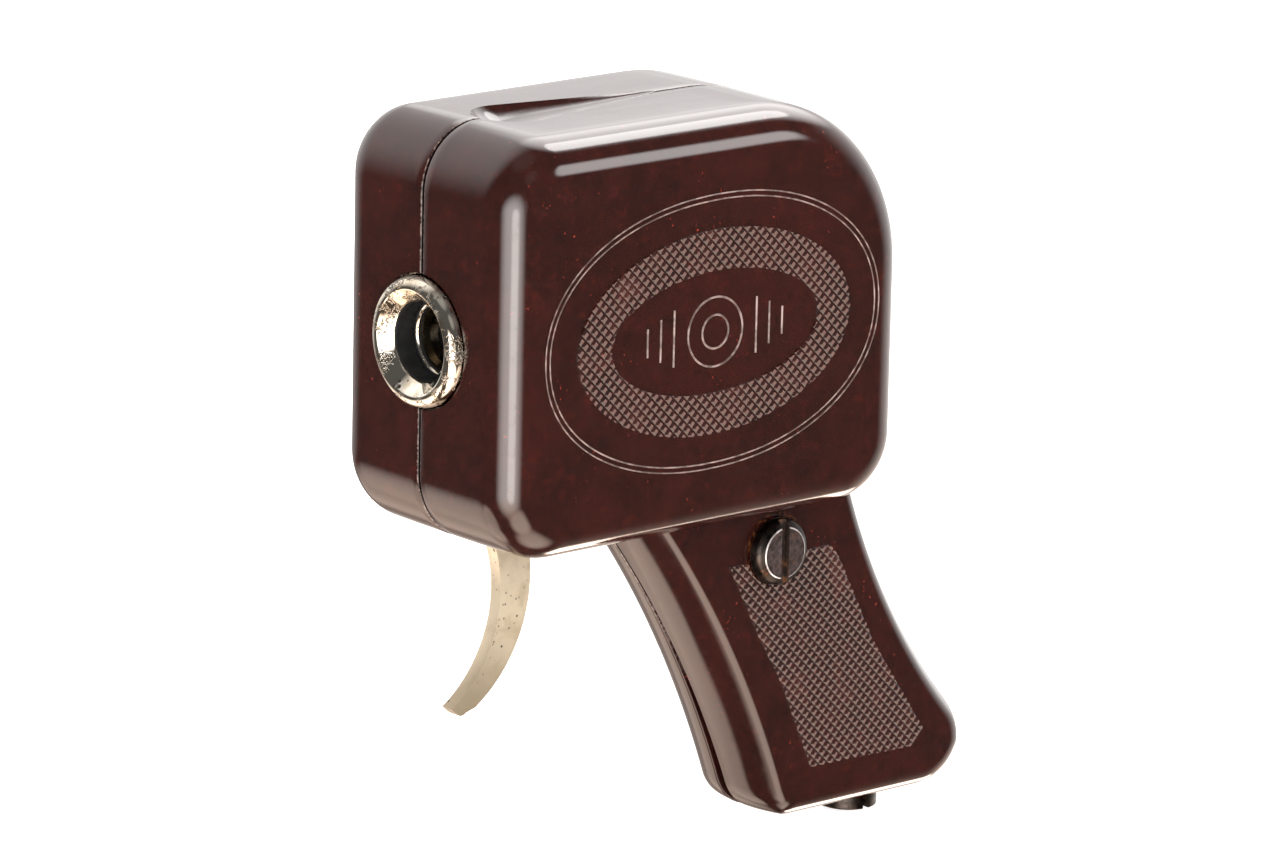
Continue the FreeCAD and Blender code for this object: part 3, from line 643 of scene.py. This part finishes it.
def make_lens_ring():
    """The plated ring: a narrow lip, a funnel down to the dark bore and a full round shoulder."""
    lip = [(8.12, RING_LIP_Y), (8.62, RING_LIP_Y)]
    shoulder = []
    for k in range(1, RING_ARC_STEPS + 1):
        a = math.radians(10 + 80 * k / RING_ARC_STEPS)
        along = RING_LIP_Y + RING_ARC[1] * (1 - math.cos(a))
        shoulder.append((RING_LIP_R + RING_ARC[0] * math.sin(a), along))
    back = [(10.18, 1.2), (10.18, 3.22), (12.15, 3.22), (12.15, 4.48), (6.32, 4.48), (6.32, 3.52)]
    back += [(6.02, 3.52), (6.02, 0.25), (6.12, -0.08), (6.3, -0.3)]
    radii = [0.2] * len(lip) + [0] * len(shoulder) + [0.1] * len(back)
    ring = lathe("plated_lens_ring", rounded_profile(lip + shoulder + back, radii), 128)
    for polygon in ring.data.polygons:
        in_bore = off_axis(polygon.center) < 6.1 and polygon.center.y > -0.04 * MM
        polygon.material_index = int(in_bore)
    smooth(ring, 40)
    finish_piece(ring, "camera", "ring_chrome", ("lens_ring",))
    ring.data.materials.append(MATERIALS["lens_black"])


def make_lens_barrel():
    """The blackened barrel, with its front edge worn bright."""
    profile = [(6.23, 3.74), (6.1, 3.62), (5.6, 3.62), (5.27, 3.86), (5.27, 11.38), (4.02, 11.38)]
    profile += [(4.02, 13.98), (8.98, 13.98), (8.98, 12.0), (7.58, 12.0), (7.58, 4.62), (6.23, 4.62)]
    radii = [0.05] * 4 + [0.1] * 8
    barrel = lathe("lens_barrel_tube", rounded_profile(profile, radii, 2), 96)
    smooth(barrel, 40)
    finish_piece(barrel, "camera", "lens_black", ("lens_barrel",))
    barrel.data.materials.append(MATERIALS["ring_chrome"])
    for polygon in barrel.data.polygons:
        front_edge = polygon.center.y < 3.9 * MM and off_axis(polygon.center) < 5.62
        polygon.material_index = int(front_edge)


def make_trigger():
    """The stamped trigger blade with eased edges."""

    def on(curve, z):
        (cy, cz), r = curve
        return (cy + math.sqrt(r * r - (z - cz) ** 2), z)

    outline = [(18.4, -26.0)]
    outline += [on(TRIGGER_FRONT, -33.0 - 25.3 * k / TRIGGER_STEPS) for k in range(TRIGGER_STEPS + 1)]
    tip_y, tip_z = 8.55 - 0.35, -58.35 - 0.55
    for a in (-0.9, -0.3, 0.4, 1.0):
        outline.append((tip_y + 0.9 * math.sin(a), tip_z - 0.75 * math.cos(a)))
    outline += [on(TRIGGER_REAR, -58.7 + 22.7 * k / TRIGGER_STEPS) for k in range(TRIGGER_STEPS + 1)]
    outline += [(23.7, -27.0)]
    blade = prism("nickel_trigger", outline, -TRIGGER_HALF, TRIGGER_HALF)
    hub = prism("hub", circle(PIVOT, TRIGGER_HUB_R, 48), -TRIGGER_HALF, TRIGGER_HALF)
    boolean(blade, hub, "UNION")
    boolean(blade, prism("bore", circle(PIVOT, TRIGGER_BORE_R, 40), -3, 3), "DIFFERENCE")
    bevel(blade, 0.22, 3, 50)
    smooth(blade, 50)
    finish_piece(blade, "trigger_group", "trigger_nickel", ("trigger",))


def rectangle(centre, half_y, half_z):
    """The corners (y, z) of a rectangle."""
    corners = ((-half_y, -half_z), (half_y, -half_z), (half_y, half_z), (-half_y, half_z))
    return [(centre[0] + dy, centre[1] + dz) for dy, dz in corners]


def make_grip_screw():
    """The cheese-headed case screw: a domed rim, a flat slotted face and a threaded shank."""
    base = SCREW_HEAD_BACK
    top = base + SCREW_HEAD_H
    profile = [(0.001, base), (5.35, base), (5.36, base + 0.9), (4.95, base + 1.65), (4.08, base + 2.14)]
    profile += [(3.92, top), (0.001, top)]
    head = lathe("grip_screw_head", rounded_profile(profile, [0, 0.15, 0.5, 0.5, 0.04, 0.02, 0]), 96)
    threads = [(0.001, -5.95)]
    for k in range(int((base + 5.4) / THREAD_PITCH)):
        x = -5.7 + k * THREAD_PITCH
        threads += [(1.62, x), (1.93, x + THREAD_PITCH * 0.42), (1.93, x + THREAD_PITCH * 0.58)]
    threads += [(1.62, base - 0.3), (1.9, base + 0.2), (0.001, base + 0.2)]
    shank = lathe("shank", threads, 40)
    to_grip = ((0, 1, 0, 0), (1, 0, 0, SCREW_AT[0] * MM), (0, 0, 1, SCREW_AT[1] * MM), (0, 0, 0, 1))
    for ob in (head, shank):
        merge_points(ob, WELD)
        ob.data.transform(Matrix(to_grip))
        ob.data.flip_normals()
    slot = prism("slot", rectangle(SCREW_AT, SCREW_SLOT_HALF, 8), base + SCREW_SLOT_FLOOR, base + 5)
    boolean(head, slot, "DIFFERENCE")
    bevel(head, 0.09, 2, 50)
    for polygon in head.data.polygons:
        height = polygon.center.x / MM - base
        across = abs(polygon.center.y / MM - SCREW_AT[0])
        if 1.1 < height < 2.16 and across < SCREW_SLOT_HALF + 0.02:
            polygon.material_index = 2
        elif height > 2.05 and abs(polygon.normal.x) < 0.96:
            polygon.material_index = 1
        elif 0.2 < height < 2.05:
            polygon.material_index = 3
    join(head, shank)
    smooth(head, 40)
    finish_piece(head, "case_screw", "screw_steel", ("grip_screw",))
    for extra in ("rubbed_steel", "slot_rust", "bush_steel"):
        head.data.materials.append(MATERIALS[extra])


def make_film_spring():
    """The bowed leaf behind the film presser."""
    spring = cad_copy("pressure_spring", "film_spring")
    bevel(spring, 0.08, 2, 30)
    smooth(spring, 30)
    finish_piece(spring, "film_presser", "spring_steel", ("pressure_spring",))
    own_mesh(spring)


def make_tripod_bush():
    """The slotted bush under the grip, with a rounded rim and turned thread lines in its bore."""
    low = BUSH_BOTTOM
    neck = GRIP_BASE - 0.06
    shelf = GRIP_BASE + 3.06
    top = GRIP_BASE + 5.98
    outside = [(4.76, low), (4.76, neck), (3.88, neck), (3.88, shelf), (5.58, shelf), (5.58, top)]
    bore = [(2.75, top)]
    for k in range(6):
        z = GRIP_BASE + 5.0 - k * BUSH_THREAD_PITCH
        bore += [(2.57, z), (2.9, z - BUSH_THREAD_PITCH / 2)]
    radii = [0.3, 0.1, 0.1, 0.1, 0.1, 0.2] + [0.02] * len(bore) + [0.2]
    ring = lathe("slotted_bush", rounded_profile(outside + bore + [(2.75, low)], radii), 72)
    ring.data.transform(Matrix(((1, 0, 0, 0), (0, 0, 1, BUSH_Y * MM), (0, 1, 0, 0), (0, 0, 0, 1))))
    ring.data.flip_normals()
    foot, roof = low - 1, low + BUSH_SLOT_DEPTH
    front, rear = BUSH_Y - BUSH_SLOT_HALF, BUSH_Y + BUSH_SLOT_HALF
    slot = prism("slot", [(front, foot), (rear, foot), (rear, roof), (front, roof)], -8, 8)
    boolean(ring, slot, "DIFFERENCE")
    smooth(ring, 35)
    finish_piece(ring, "camera", "bush_steel", ("tripod_bush",))


# ---------------------------------------------------------------- materials
class Surface:
    """A node material under construction, with short calls for the nodes that this file uses."""

    def __init__(self, name, **sockets):
        self.material = bpy.data.materials.new(name)
        self.material.use_nodes = True
        self.tree = self.material.node_tree
        self.shader = self.tree.nodes["Principled BSDF"]
        self.place = self.node("ShaderNodeTexCoord").outputs["Object"]
        for socket, value in sockets.items():
            self.shader.inputs[socket.replace("_", " ")].default_value = value

    def node(self, kind, **settings):
        node = self.tree.nodes.new(kind)
        for key, value in settings.items():
            setattr(node, key, value)
        return node

    def link(self, source, target):
        self.tree.links.new(source, target)

    def noise(self, scale, detail=4.0, rough=0.6, distort=0.0, stretch=(1, 1, 1)):
        """Noise whose features are about 1/scale metres across."""
        mapping = self.node("ShaderNodeMapping")
        mapping.inputs["Scale"].default_value = stretch
        noise = self.node("ShaderNodeTexNoise")
        noise.inputs["Scale"].default_value = scale
        noise.inputs["Detail"].default_value = detail
        noise.inputs["Roughness"].default_value = rough
        noise.inputs["Distortion"].default_value = distort
        self.link(self.place, mapping.inputs["Vector"])
        self.link(mapping.outputs["Vector"], noise.inputs["Vector"])
        return noise.outputs["Fac"]

    def cells(self, scale):
        """Distance to the middle of the nearest of many cells, about 1/scale metres across."""
        cells = self.node("ShaderNodeTexVoronoi")
        cells.inputs["Scale"].default_value = scale
        self.link(self.place, cells.inputs["Vector"])
        return cells.outputs["Distance"]

    def along(self, axis):
        """The position along one of the object's axes, in metres."""
        split = self.node("ShaderNodeSeparateXYZ")
        self.link(self.place, split.inputs["Vector"])
        return split.outputs[axis]

    def band(self, value, low, high, out_low=0.0, out_high=1.0):
        """value brought from low..high to out_low..out_high, held at both ends."""
        span = self.node("ShaderNodeMapRange", interpolation_type="SMOOTHSTEP")
        sockets = ("From Min", "From Max", "To Min", "To Max")
        for socket, number in zip(sockets, (low, high, out_low, out_high)):
            span.inputs[socket].default_value = number
        self.link(value, span.inputs["Value"])
        return span.outputs["Result"]

    def maths(self, operation, a, b):
        node = self.node("ShaderNodeMath", operation=operation)
        for socket, value in zip(node.inputs, (a, b)):
            if isinstance(value, (int, float)):
                socket.default_value = value
            else:
                self.link(value, socket)
        return node.outputs["Value"]

    def mix(self, factor, a, b):
        node = self.node("ShaderNodeMix", data_type="RGBA")
        self.link(factor, node.inputs["Factor"])
        for socket, value in ((node.inputs["A"], a), (node.inputs["B"], b)):
            if isinstance(value, tuple):
                socket.default_value = value + (1.0,)
            else:
                self.link(value, socket)
        return node.outputs["Result"]

    def near(self, point, radius, soft):
        """1 near a point of the object (in millimetres), falling to 0 at radius + soft."""
        away = self.node("ShaderNodeVectorMath", operation="DISTANCE")
        self.link(self.place, away.inputs[0])
        away.inputs[1].default_value = tuple(c * MM for c in point)
        return self.band(away.outputs["Value"], radius * MM, (radius + soft) * MM, 1.0, 0.0)

    def colour(self, source):
        self.link(source, self.shader.inputs["Base Color"])

    def roughness(self, source):
        self.link(source, self.shader.inputs["Roughness"])

    def bump(self, height, depth):
        """Raises the surface by height times depth (in millimetres)."""
        bump = self.node("ShaderNodeBump")
        bump.inputs["Distance"].default_value = depth * MM
        self.link(height, bump.inputs["Height"])
        previous = self.shader.inputs["Normal"].links
        if previous:
            self.link(previous[0].from_socket, bump.inputs["Normal"])
        self.link(bump.outputs["Normal"], self.shader.inputs["Normal"])


def srgb(r, g, b):
    """Linear colour from 0-255 display values."""
    return tuple((c / 255 / 12.92) if c <= 10 else ((c / 255 + 0.055) / 1.055) ** 2.4 for c in (r, g, b))


def bakelite(name, finish):
    """Mottled dark red-brown moulding, in four finishes.

    polished is the moulded surface, slope is the sides of the knurling, top its flat tops, whose paler
    colour is a painted sheen, and edge is the crest of a fine raised line, whose paler colour is a painted
    highlight.
    """
    s = Surface(name, IOR=1.56)
    broad = s.noise(70, 5, 0.7, 0.5)
    base = s.mix(s.band(broad, 0.32, 0.68), srgb(34, 14, 11), srgb(44, 17, 13))
    clouds = s.noise(420, 4, 0.75, 0.4)
    base = s.mix(s.band(clouds, 0.5, 0.75, 0.0, 0.6), base, srgb(62, 21, 16))
    dark = s.noise(240, 4, 0.7, 0.3)
    base = s.mix(s.band(dark, 0.52, 0.72, 0.0, 0.6), base, srgb(25, 12, 10))
    rare = s.band(s.noise(170, 3, 0.6), 0.57, 0.66)
    specks = s.maths("MULTIPLY", s.band(s.noise(1500, 2, 0.5), 0.66, 0.74), rare)
    base = s.mix(specks, base, srgb(118, 42, 30))
    if finish == "top":
        # painted sheen: the knurling's flat tops get a paler grey colour for the light they catch
        base = s.mix(s.band(s.noise(160, 3, 0.6), 0.52, 0.7, 0.95, 0.6), base, srgb(100, 72, 64))
    if finish == "slope":
        base = s.mix(s.band(s.noise(160, 3, 0.6), 0.5, 0.75, 0.0, 0.35), base, srgb(92, 46, 38))
    if finish == "edge":
        # painted highlight: the crests of fine raised lines get a paler colour for the light they catch
        base = s.mix(s.band(s.noise(460, 3, 0.7), 0.38, 0.6, 1.0, 0.25), base, srgb(140, 119, 111))
    rust_edge = s.near((GRIP_HALF, SCREW_AT[0], SCREW_AT[1]), 5.5, 0.9)
    rust = s.maths("MULTIPLY", rust_edge, s.band(s.noise(900, 4), 0.48, 0.64, 0.0, 0.45))
    base = s.mix(rust, base, srgb(104, 62, 34))
    fine = s.noise(2600, 2, 0.5)
    if finish == "polished":
        from_seam = s.maths("ABSOLUTE", s.along("X"), 0.0)
        lip_outer = s.band(from_seam, 0.38 * MM, 0.5 * MM, 1.0, 0.0)
        lip = s.maths("MULTIPLY", lip_outer, s.band(from_seam, 0.22 * MM, 0.27 * MM))
        # the seam's lips get a paler broken colour: partly chips, partly a painted highlight along their
        # edges
        chips_and_lip_highlight = s.maths("MULTIPLY", lip, s.band(s.noise(1300, 4, 0.7), 0.42, 0.6, 0.0, 0.8))
        base = s.mix(chips_and_lip_highlight, base, srgb(132, 112, 104))
        # painted shade: the walls of the seam's gap are painted near-black
        base = s.mix(s.band(from_seam, 0.24 * MM, 0.3 * MM, 0.95, 0.0), base, srgb(9, 6, 5))
        scratches = s.noise(700, 2, 0.5, 0.2, (1, 0.05, 1))
        worn = s.band(scratches, 0.5, 0.75, 0.08, 0.17)
        s.roughness(s.maths("ADD", worn, s.band(fine, 0.4, 0.8, 0.0, 0.06)))
        s.bump(s.noise(90, 2, 0.4), 0.03)
        s.bump(fine, 0.0003)
    else:
        s.roughness(s.band(fine, 0.3, 0.75, *ROUGHNESS[finish]))
        s.bump(fine, 0.002)
    s.colour(base)
    return s.material


ROUGHNESS = {"slope": (0.16, 0.28), "top": (0.36, 0.52), "edge": (0.28, 0.42)}


def plated(name, colour, worn, rough, pits, metallic=1.0, speckle=0.0, dull=None):
    """Metal plate with slow colour change, dull patches, pits and worn-through speckle."""
    s = Surface(name, Metallic=metallic)
    patches = s.noise(240, 4, 0.6, 0.4)
    pit_cells = s.band(s.cells(pits), 0.12, 0.3, 1.0, 0.0)
    pit_mask = s.maths("MULTIPLY", pit_cells, s.band(s.noise(pits * 0.3, 2), 0.5, 0.62))
    if speckle:
        zone = s.band(s.noise(330, 3, 0.6, 0.6), 0.5, 0.58)
        grains = s.band(s.noise(2600, 3, 0.6), 0.46, 0.56, 0.0, speckle)
        pit_mask = s.maths("MAXIMUM", pit_mask, s.maths("MULTIPLY", zone, grains))
    base = s.mix(s.band(patches, 0.4, 0.75), colour, worn)
    if dull:
        base = s.mix(s.near(*dull), base, tuple(c * 0.70 for c in worn))
    s.colour(s.mix(pit_mask, base, tuple(c * 0.14 for c in worn)))
    s.roughness(s.maths("ADD", s.band(patches, 0.35, 0.75, *rough), s.maths("MULTIPLY", pit_mask, 0.3)))
    s.bump(pit_mask, -0.03)
    s.bump(s.noise(1500, 3), 0.002)
    return s.material


def steel(name, light, dark, rough, rust=0.0, grain=900, metallic=1.0, stains=500):
    """Bare or browned steel with stains, a fine grain and, if asked, spots of rust."""
    s = Surface(name, Metallic=metallic)
    stain = s.noise(stains, 5, 0.65, 0.5)
    base = s.mix(s.band(stain, 0.35, 0.7), light, dark)
    if rust:
        rusty = s.band(s.noise(700, 5, 0.7), 0.62 - rust * 0.15, 0.74, 0.0, 0.85)
        base = s.mix(rusty, base, srgb(122, 74, 40))
    s.colour(base)
    s.roughness(s.band(s.noise(grain, 4, 0.7), 0.3, 0.75, *rough))
    s.bump(s.noise(grain * 2.5, 3), 0.012)
    return s.material


def brass():
    """Turned brass, dulled in patches."""
    s = Surface("gear_brass", Metallic=1.0)
    s.colour(s.mix(s.band(s.noise(400, 4), 0.35, 0.7), srgb(214, 178, 98), srgb(160, 122, 62)))
    s.roughness(s.band(s.noise(1200, 3), 0.3, 0.7, 0.18, 0.36))
    s.bump(s.noise(2500, 2, 0.5, 0.0, (1, 0.1, 1)), 0.004)
    return s.material


def casting():
    """Sand-cast light alloy."""
    s = Surface("camera_casting", Metallic=1.0)
    s.colour(s.mix(s.band(s.noise(300, 5), 0.35, 0.7), srgb(170, 170, 166), srgb(128, 128, 126)))
    s.roughness(s.band(s.noise(1600, 4), 0.3, 0.75, 0.38, 0.6))
    s.bump(s.noise(1300, 4, 0.7), 0.03)
    return s.material


def black_paint(name, colour, rough, wrinkle):
    """Black enamel with a fine wrinkle."""
    s = Surface(name, IOR=1.5)
    s.colour(s.mix(s.band(s.noise(600, 4), 0.35, 0.7), colour, tuple(c * 1.9 for c in colour)))
    s.roughness(s.band(s.noise(1500, 3), 0.3, 0.7, *rough))
    s.bump(s.cells(1100), wrinkle)
    return s.material


def glass():
    """Clear optical glass with a little dust."""
    s = Surface("lens_glass", IOR=1.52, Transmission_Weight=1.0, Roughness=0.0)
    s.colour(s.mix(s.band(s.noise(60, 2), 0.3, 0.7), (0.86, 0.91, 0.95), (0.93, 0.95, 0.93)))
    s.roughness(s.band(s.noise(900, 3), 0.55, 0.8, 0.0, 0.06))
    return s.material


MATERIALS = {
    "bakelite": bakelite("bakelite", "polished"),
    "bakelite_slope": bakelite("bakelite_slope", "slope"),
    "bakelite_top_painted_sheen": bakelite("bakelite_top_painted_sheen", "top"),
    "bakelite_edge_painted_highlight": bakelite("bakelite_edge_painted_highlight", "edge"),
    "ring_chrome": plated(
        "ring_chrome", srgb(236, 228, 214), srgb(196, 176, 148), (0.035, 0.12), 700, speckle=0.9
    ),
    "trigger_nickel": plated(
        "trigger_nickel", srgb(214, 196, 169), srgb(186, 167, 139), (0.34, 0.5), 1100, 0.5, dull=TRIGGER_TIP
    ),
    "screw_steel": steel(
        "screw_steel", srgb(86, 71, 68), srgb(40, 32, 31), (0.3, 0.5), 0.15, 2200, 0.5, 1500
    ),
    "slot_rust": steel(
        "slot_rust", srgb(46, 33, 27), srgb(24, 18, 16), (0.55, 0.75), rust=0.9, metallic=0.2
    ),
    "rubbed_steel": steel(
        "rubbed_steel", srgb(206, 198, 194), srgb(132, 122, 116), (0.4, 0.6), 0.0, 900, 0.3
    ),
    "bush_steel": steel("bush_steel", srgb(62, 56, 52), srgb(34, 30, 29), (0.25, 0.5), rust=0.4),
    "lens_black": black_paint("lens_black", (0.012, 0.012, 0.012), (0.35, 0.6), 0.004),
    # retainer_nickel is darkened well below nickel's own colour, as painted shade deep in the lens bore
    "retainer_nickel": plated("retainer_nickel", srgb(108, 98, 82), srgb(74, 64, 48), (0.2, 0.36), 900),
    "lens_glass": glass(),
    "gear_brass": brass(),
    "shaft_steel": steel("shaft_steel", srgb(196, 196, 194), srgb(150, 149, 146), (0.16, 0.34)),
    "spring_steel": steel("spring_steel", srgb(120, 124, 134), srgb(84, 86, 94), (0.2, 0.36)),
    "camera_casting": casting(),
    "camera_paint": black_paint("camera_paint", (0.018, 0.018, 0.018), (0.3, 0.5), 0.03),
}


# ---------------------------------------------------------------- studio
def aim(ob, target):
    """Turns a light to face a point."""
    ob.rotation_mode = "QUATERNION"
    ob.rotation_quaternion = (target - ob.location).to_track_quat("-Z", "Y")


def world_lobes():
    """Soft white panels as seen in reflections: (direction, inner and outer angle, brightness)."""
    return (
        # top, sighting groove and upper front edge
        ((-0.77, 0.61, 0.27), 9, 17, 1.55),
        ((-0.66, 0.63, 0.42), 8, 17, 2.6),
        ((-0.35, 0.63, 0.69), 10, 36, 5.6),
        ((-0.08, 0.63, 0.77), 9, 14, 11.0),
        ((-0.85, 0.05, 0.52), 22, 60, 1.5),
        # upper side edge, and the upright edge between front and side
        ((0.695, 0.63, 0.347), 6.5, 13, 6.0),
        ((0.62, -0.745, -0.25), 2, 36, 6.8),
        ((0.70, -0.67, -0.25), 3, 16, 12.0),
        # corners and the screw's rim
        ((0.76, -0.20, 0.62), 3, 18, 0.35),
        ((0.89, -0.44, -0.10), 10, 14, 0.9),
        ((0.12, -0.23, 0.95), 6, 30, 0.35),
        # front of the grip and its edges
        ((-0.68, -0.08, -0.72), 12, 28, 1.7),
        ((-0.42, -0.33, -0.85), 11, 18, 3.2),
        ((-0.40, -0.58, -0.71), 12, 20, 3.0),
        ((-0.60, -0.36, -0.71), 12, 26, 2.4),
        ((-0.82, 0.38, -0.40), 14, 36, 0.5),
        # lower edges and the corner above the trigger
        ((-0.25, 0.63, -0.74), 6, 10, 12.0),
        ((0.60, -0.27, -0.74), 10, 24, 5.0),
        ((0.62, -0.55, -0.56), 6, 22, 3.6),
        ((0.35, 0.10, -0.93), 8, 26, 4.0),
        # pale ground seen in the rear edges
        ((-0.30, 0.93, -0.20), 10, 56, 1.7),
    )


def make_world():
    """White panels on a dim surround, warmer towards the ground."""
    world = bpy.data.worlds.new("studio")
    bpy.context.scene.world = world
    world.use_nodes = True
    tree = world.node_tree
    nodes, links = tree.nodes, tree.links
    background = nodes["Background"]
    place = nodes.new("ShaderNodeTexCoord").outputs["Generated"]
    total = None
    for direction, inner, outer, level in world_lobes():
        dot = nodes.new("ShaderNodeVectorMath")
        dot.operation = "DOT_PRODUCT"
        dot.inputs[1].default_value = Vector(direction).normalized()
        links.new(place, dot.inputs[0])
        edge = nodes.new("ShaderNodeMapRange")
        edge.interpolation_type = "SMOOTHSTEP"
        edge.inputs["From Min"].default_value = math.cos(math.radians(outer))
        edge.inputs["From Max"].default_value = math.cos(math.radians(inner))
        edge.inputs["To Max"].default_value = level
        links.new(dot.outputs["Value"], edge.inputs["Value"])
        most = nodes.new("ShaderNodeMath")
        most.operation = "MAXIMUM"
        links.new(edge.outputs["Result"], most.inputs[0])
        if total is None:
            most.inputs[1].default_value = AMBIENT
        else:
            links.new(total, most.inputs[1])
        total = most.outputs["Value"]
    links.new(total, background.inputs["Strength"])
    split = nodes.new("ShaderNodeSeparateXYZ")
    links.new(place, split.inputs["Vector"])
    low = nodes.new("ShaderNodeMapRange")
    low.inputs["From Min"].default_value = -0.15
    low.inputs["From Max"].default_value = -0.6
    links.new(split.outputs["Z"], low.inputs["Value"])
    tint = nodes.new("ShaderNodeMix")
    tint.data_type = "RGBA"
    tint.inputs["A"].default_value = (1.0, 0.985, 0.97, 1.0)
    tint.inputs["B"].default_value = (1.0, 0.80, 0.66, 1.0)
    links.new(low.outputs["Result"], tint.inputs["Factor"])
    links.new(tint.outputs["Result"], background.inputs["Color"])


def make_floor():
    """A pale round ground just under the part."""
    bm = bmesh.new()
    bmesh.ops.create_circle(bm, cap_ends=True, segments=96, radius=FLOOR_R)
    floor = mesh_object("floor", bm)
    floor.location = (0, 0.04, cad_box[0].z - 0.0005)
    s = Surface("floor", Base_Color=(0.86, 0.86, 0.86, 1), Roughness=0.9, Specular_IOR_Level=0.0)
    s.shader.inputs["Emission Color"].default_value = (1, 1, 1, 1)
    s.shader.inputs["Emission Strength"].default_value = 0.85
    floor.data.materials.append(s.material)
    floor.visible_glossy = False


def make_lights():
    """Large soft lamps that shade the case without showing in it."""
    target = Vector((0, 0.045, -0.02))
    for name, place, size, power in (
        ("key", (0.55, -0.75, 0.75), 0.6, 9.0),
        ("side", (0.95, 0.1, 0.35), 0.6, 5.0),
        ("top", (-0.2, 0.1, 1.1), 0.8, 8.0),
        ("low_front", (-0.5, -0.6, -0.02), 0.4, 1.5),
    ):
        data = bpy.data.lights.new(name, "AREA")
        data.shape = "DISK"
        data.size = size
        data.energy = power
        light = bpy.data.objects.new(name, data)
        bpy.context.scene.collection.objects.link(light)
        light.location = Vector(place)
        aim(light, target)
        light.visible_glossy = False


def make_camera():
    """A long lens, to the left of the front and a little above."""
    azimuth, elevation, roll = math.radians(49.47), math.radians(14.27), math.radians(1.25)
    distance, target = 1.1669, Vector((0, 0.0437, -0.0196))
    level = math.cos(elevation)
    back = Vector((math.sin(azimuth) * level, -math.cos(azimuth) * level, math.sin(elevation)))
    right = (-back).cross(Vector((0, 0, 1))).normalized()
    up = right.cross(-back)
    right_r = right * math.cos(roll) + up * math.sin(roll)
    up_r = -right * math.sin(roll) + up * math.cos(roll)
    data = bpy.data.cameras.new("camera")
    data.sensor_width = 36.0
    data.lens = 212.99
    data.clip_start = 0.01
    camera = bpy.data.objects.new("camera", data)
    bpy.context.scene.collection.objects.link(camera)
    axes = Matrix((right_r, up_r, back)).transposed().to_4x4()
    camera.matrix_world = Matrix.Translation(target + back * distance) @ axes
    bpy.context.scene.camera = camera


def dress_cad_nodes():
    """Gives every CAD node that is still shown its slot's material."""
    for part in frame["record"]["subparts"]:
        node = frame["nodes"][part["node"]]
        node.data.materials.clear()
        node.data.materials.append(MATERIALS[part["material_slot"]])


make_shells()
make_lens_ring()
make_lens_barrel()
make_trigger()
make_grip_screw()
make_film_spring()
make_tripod_bush()
dress_cad_nodes()
make_world()
make_floor()
make_lights()
make_camera()
bpy.context.scene.view_settings.view_transform = "Standard"
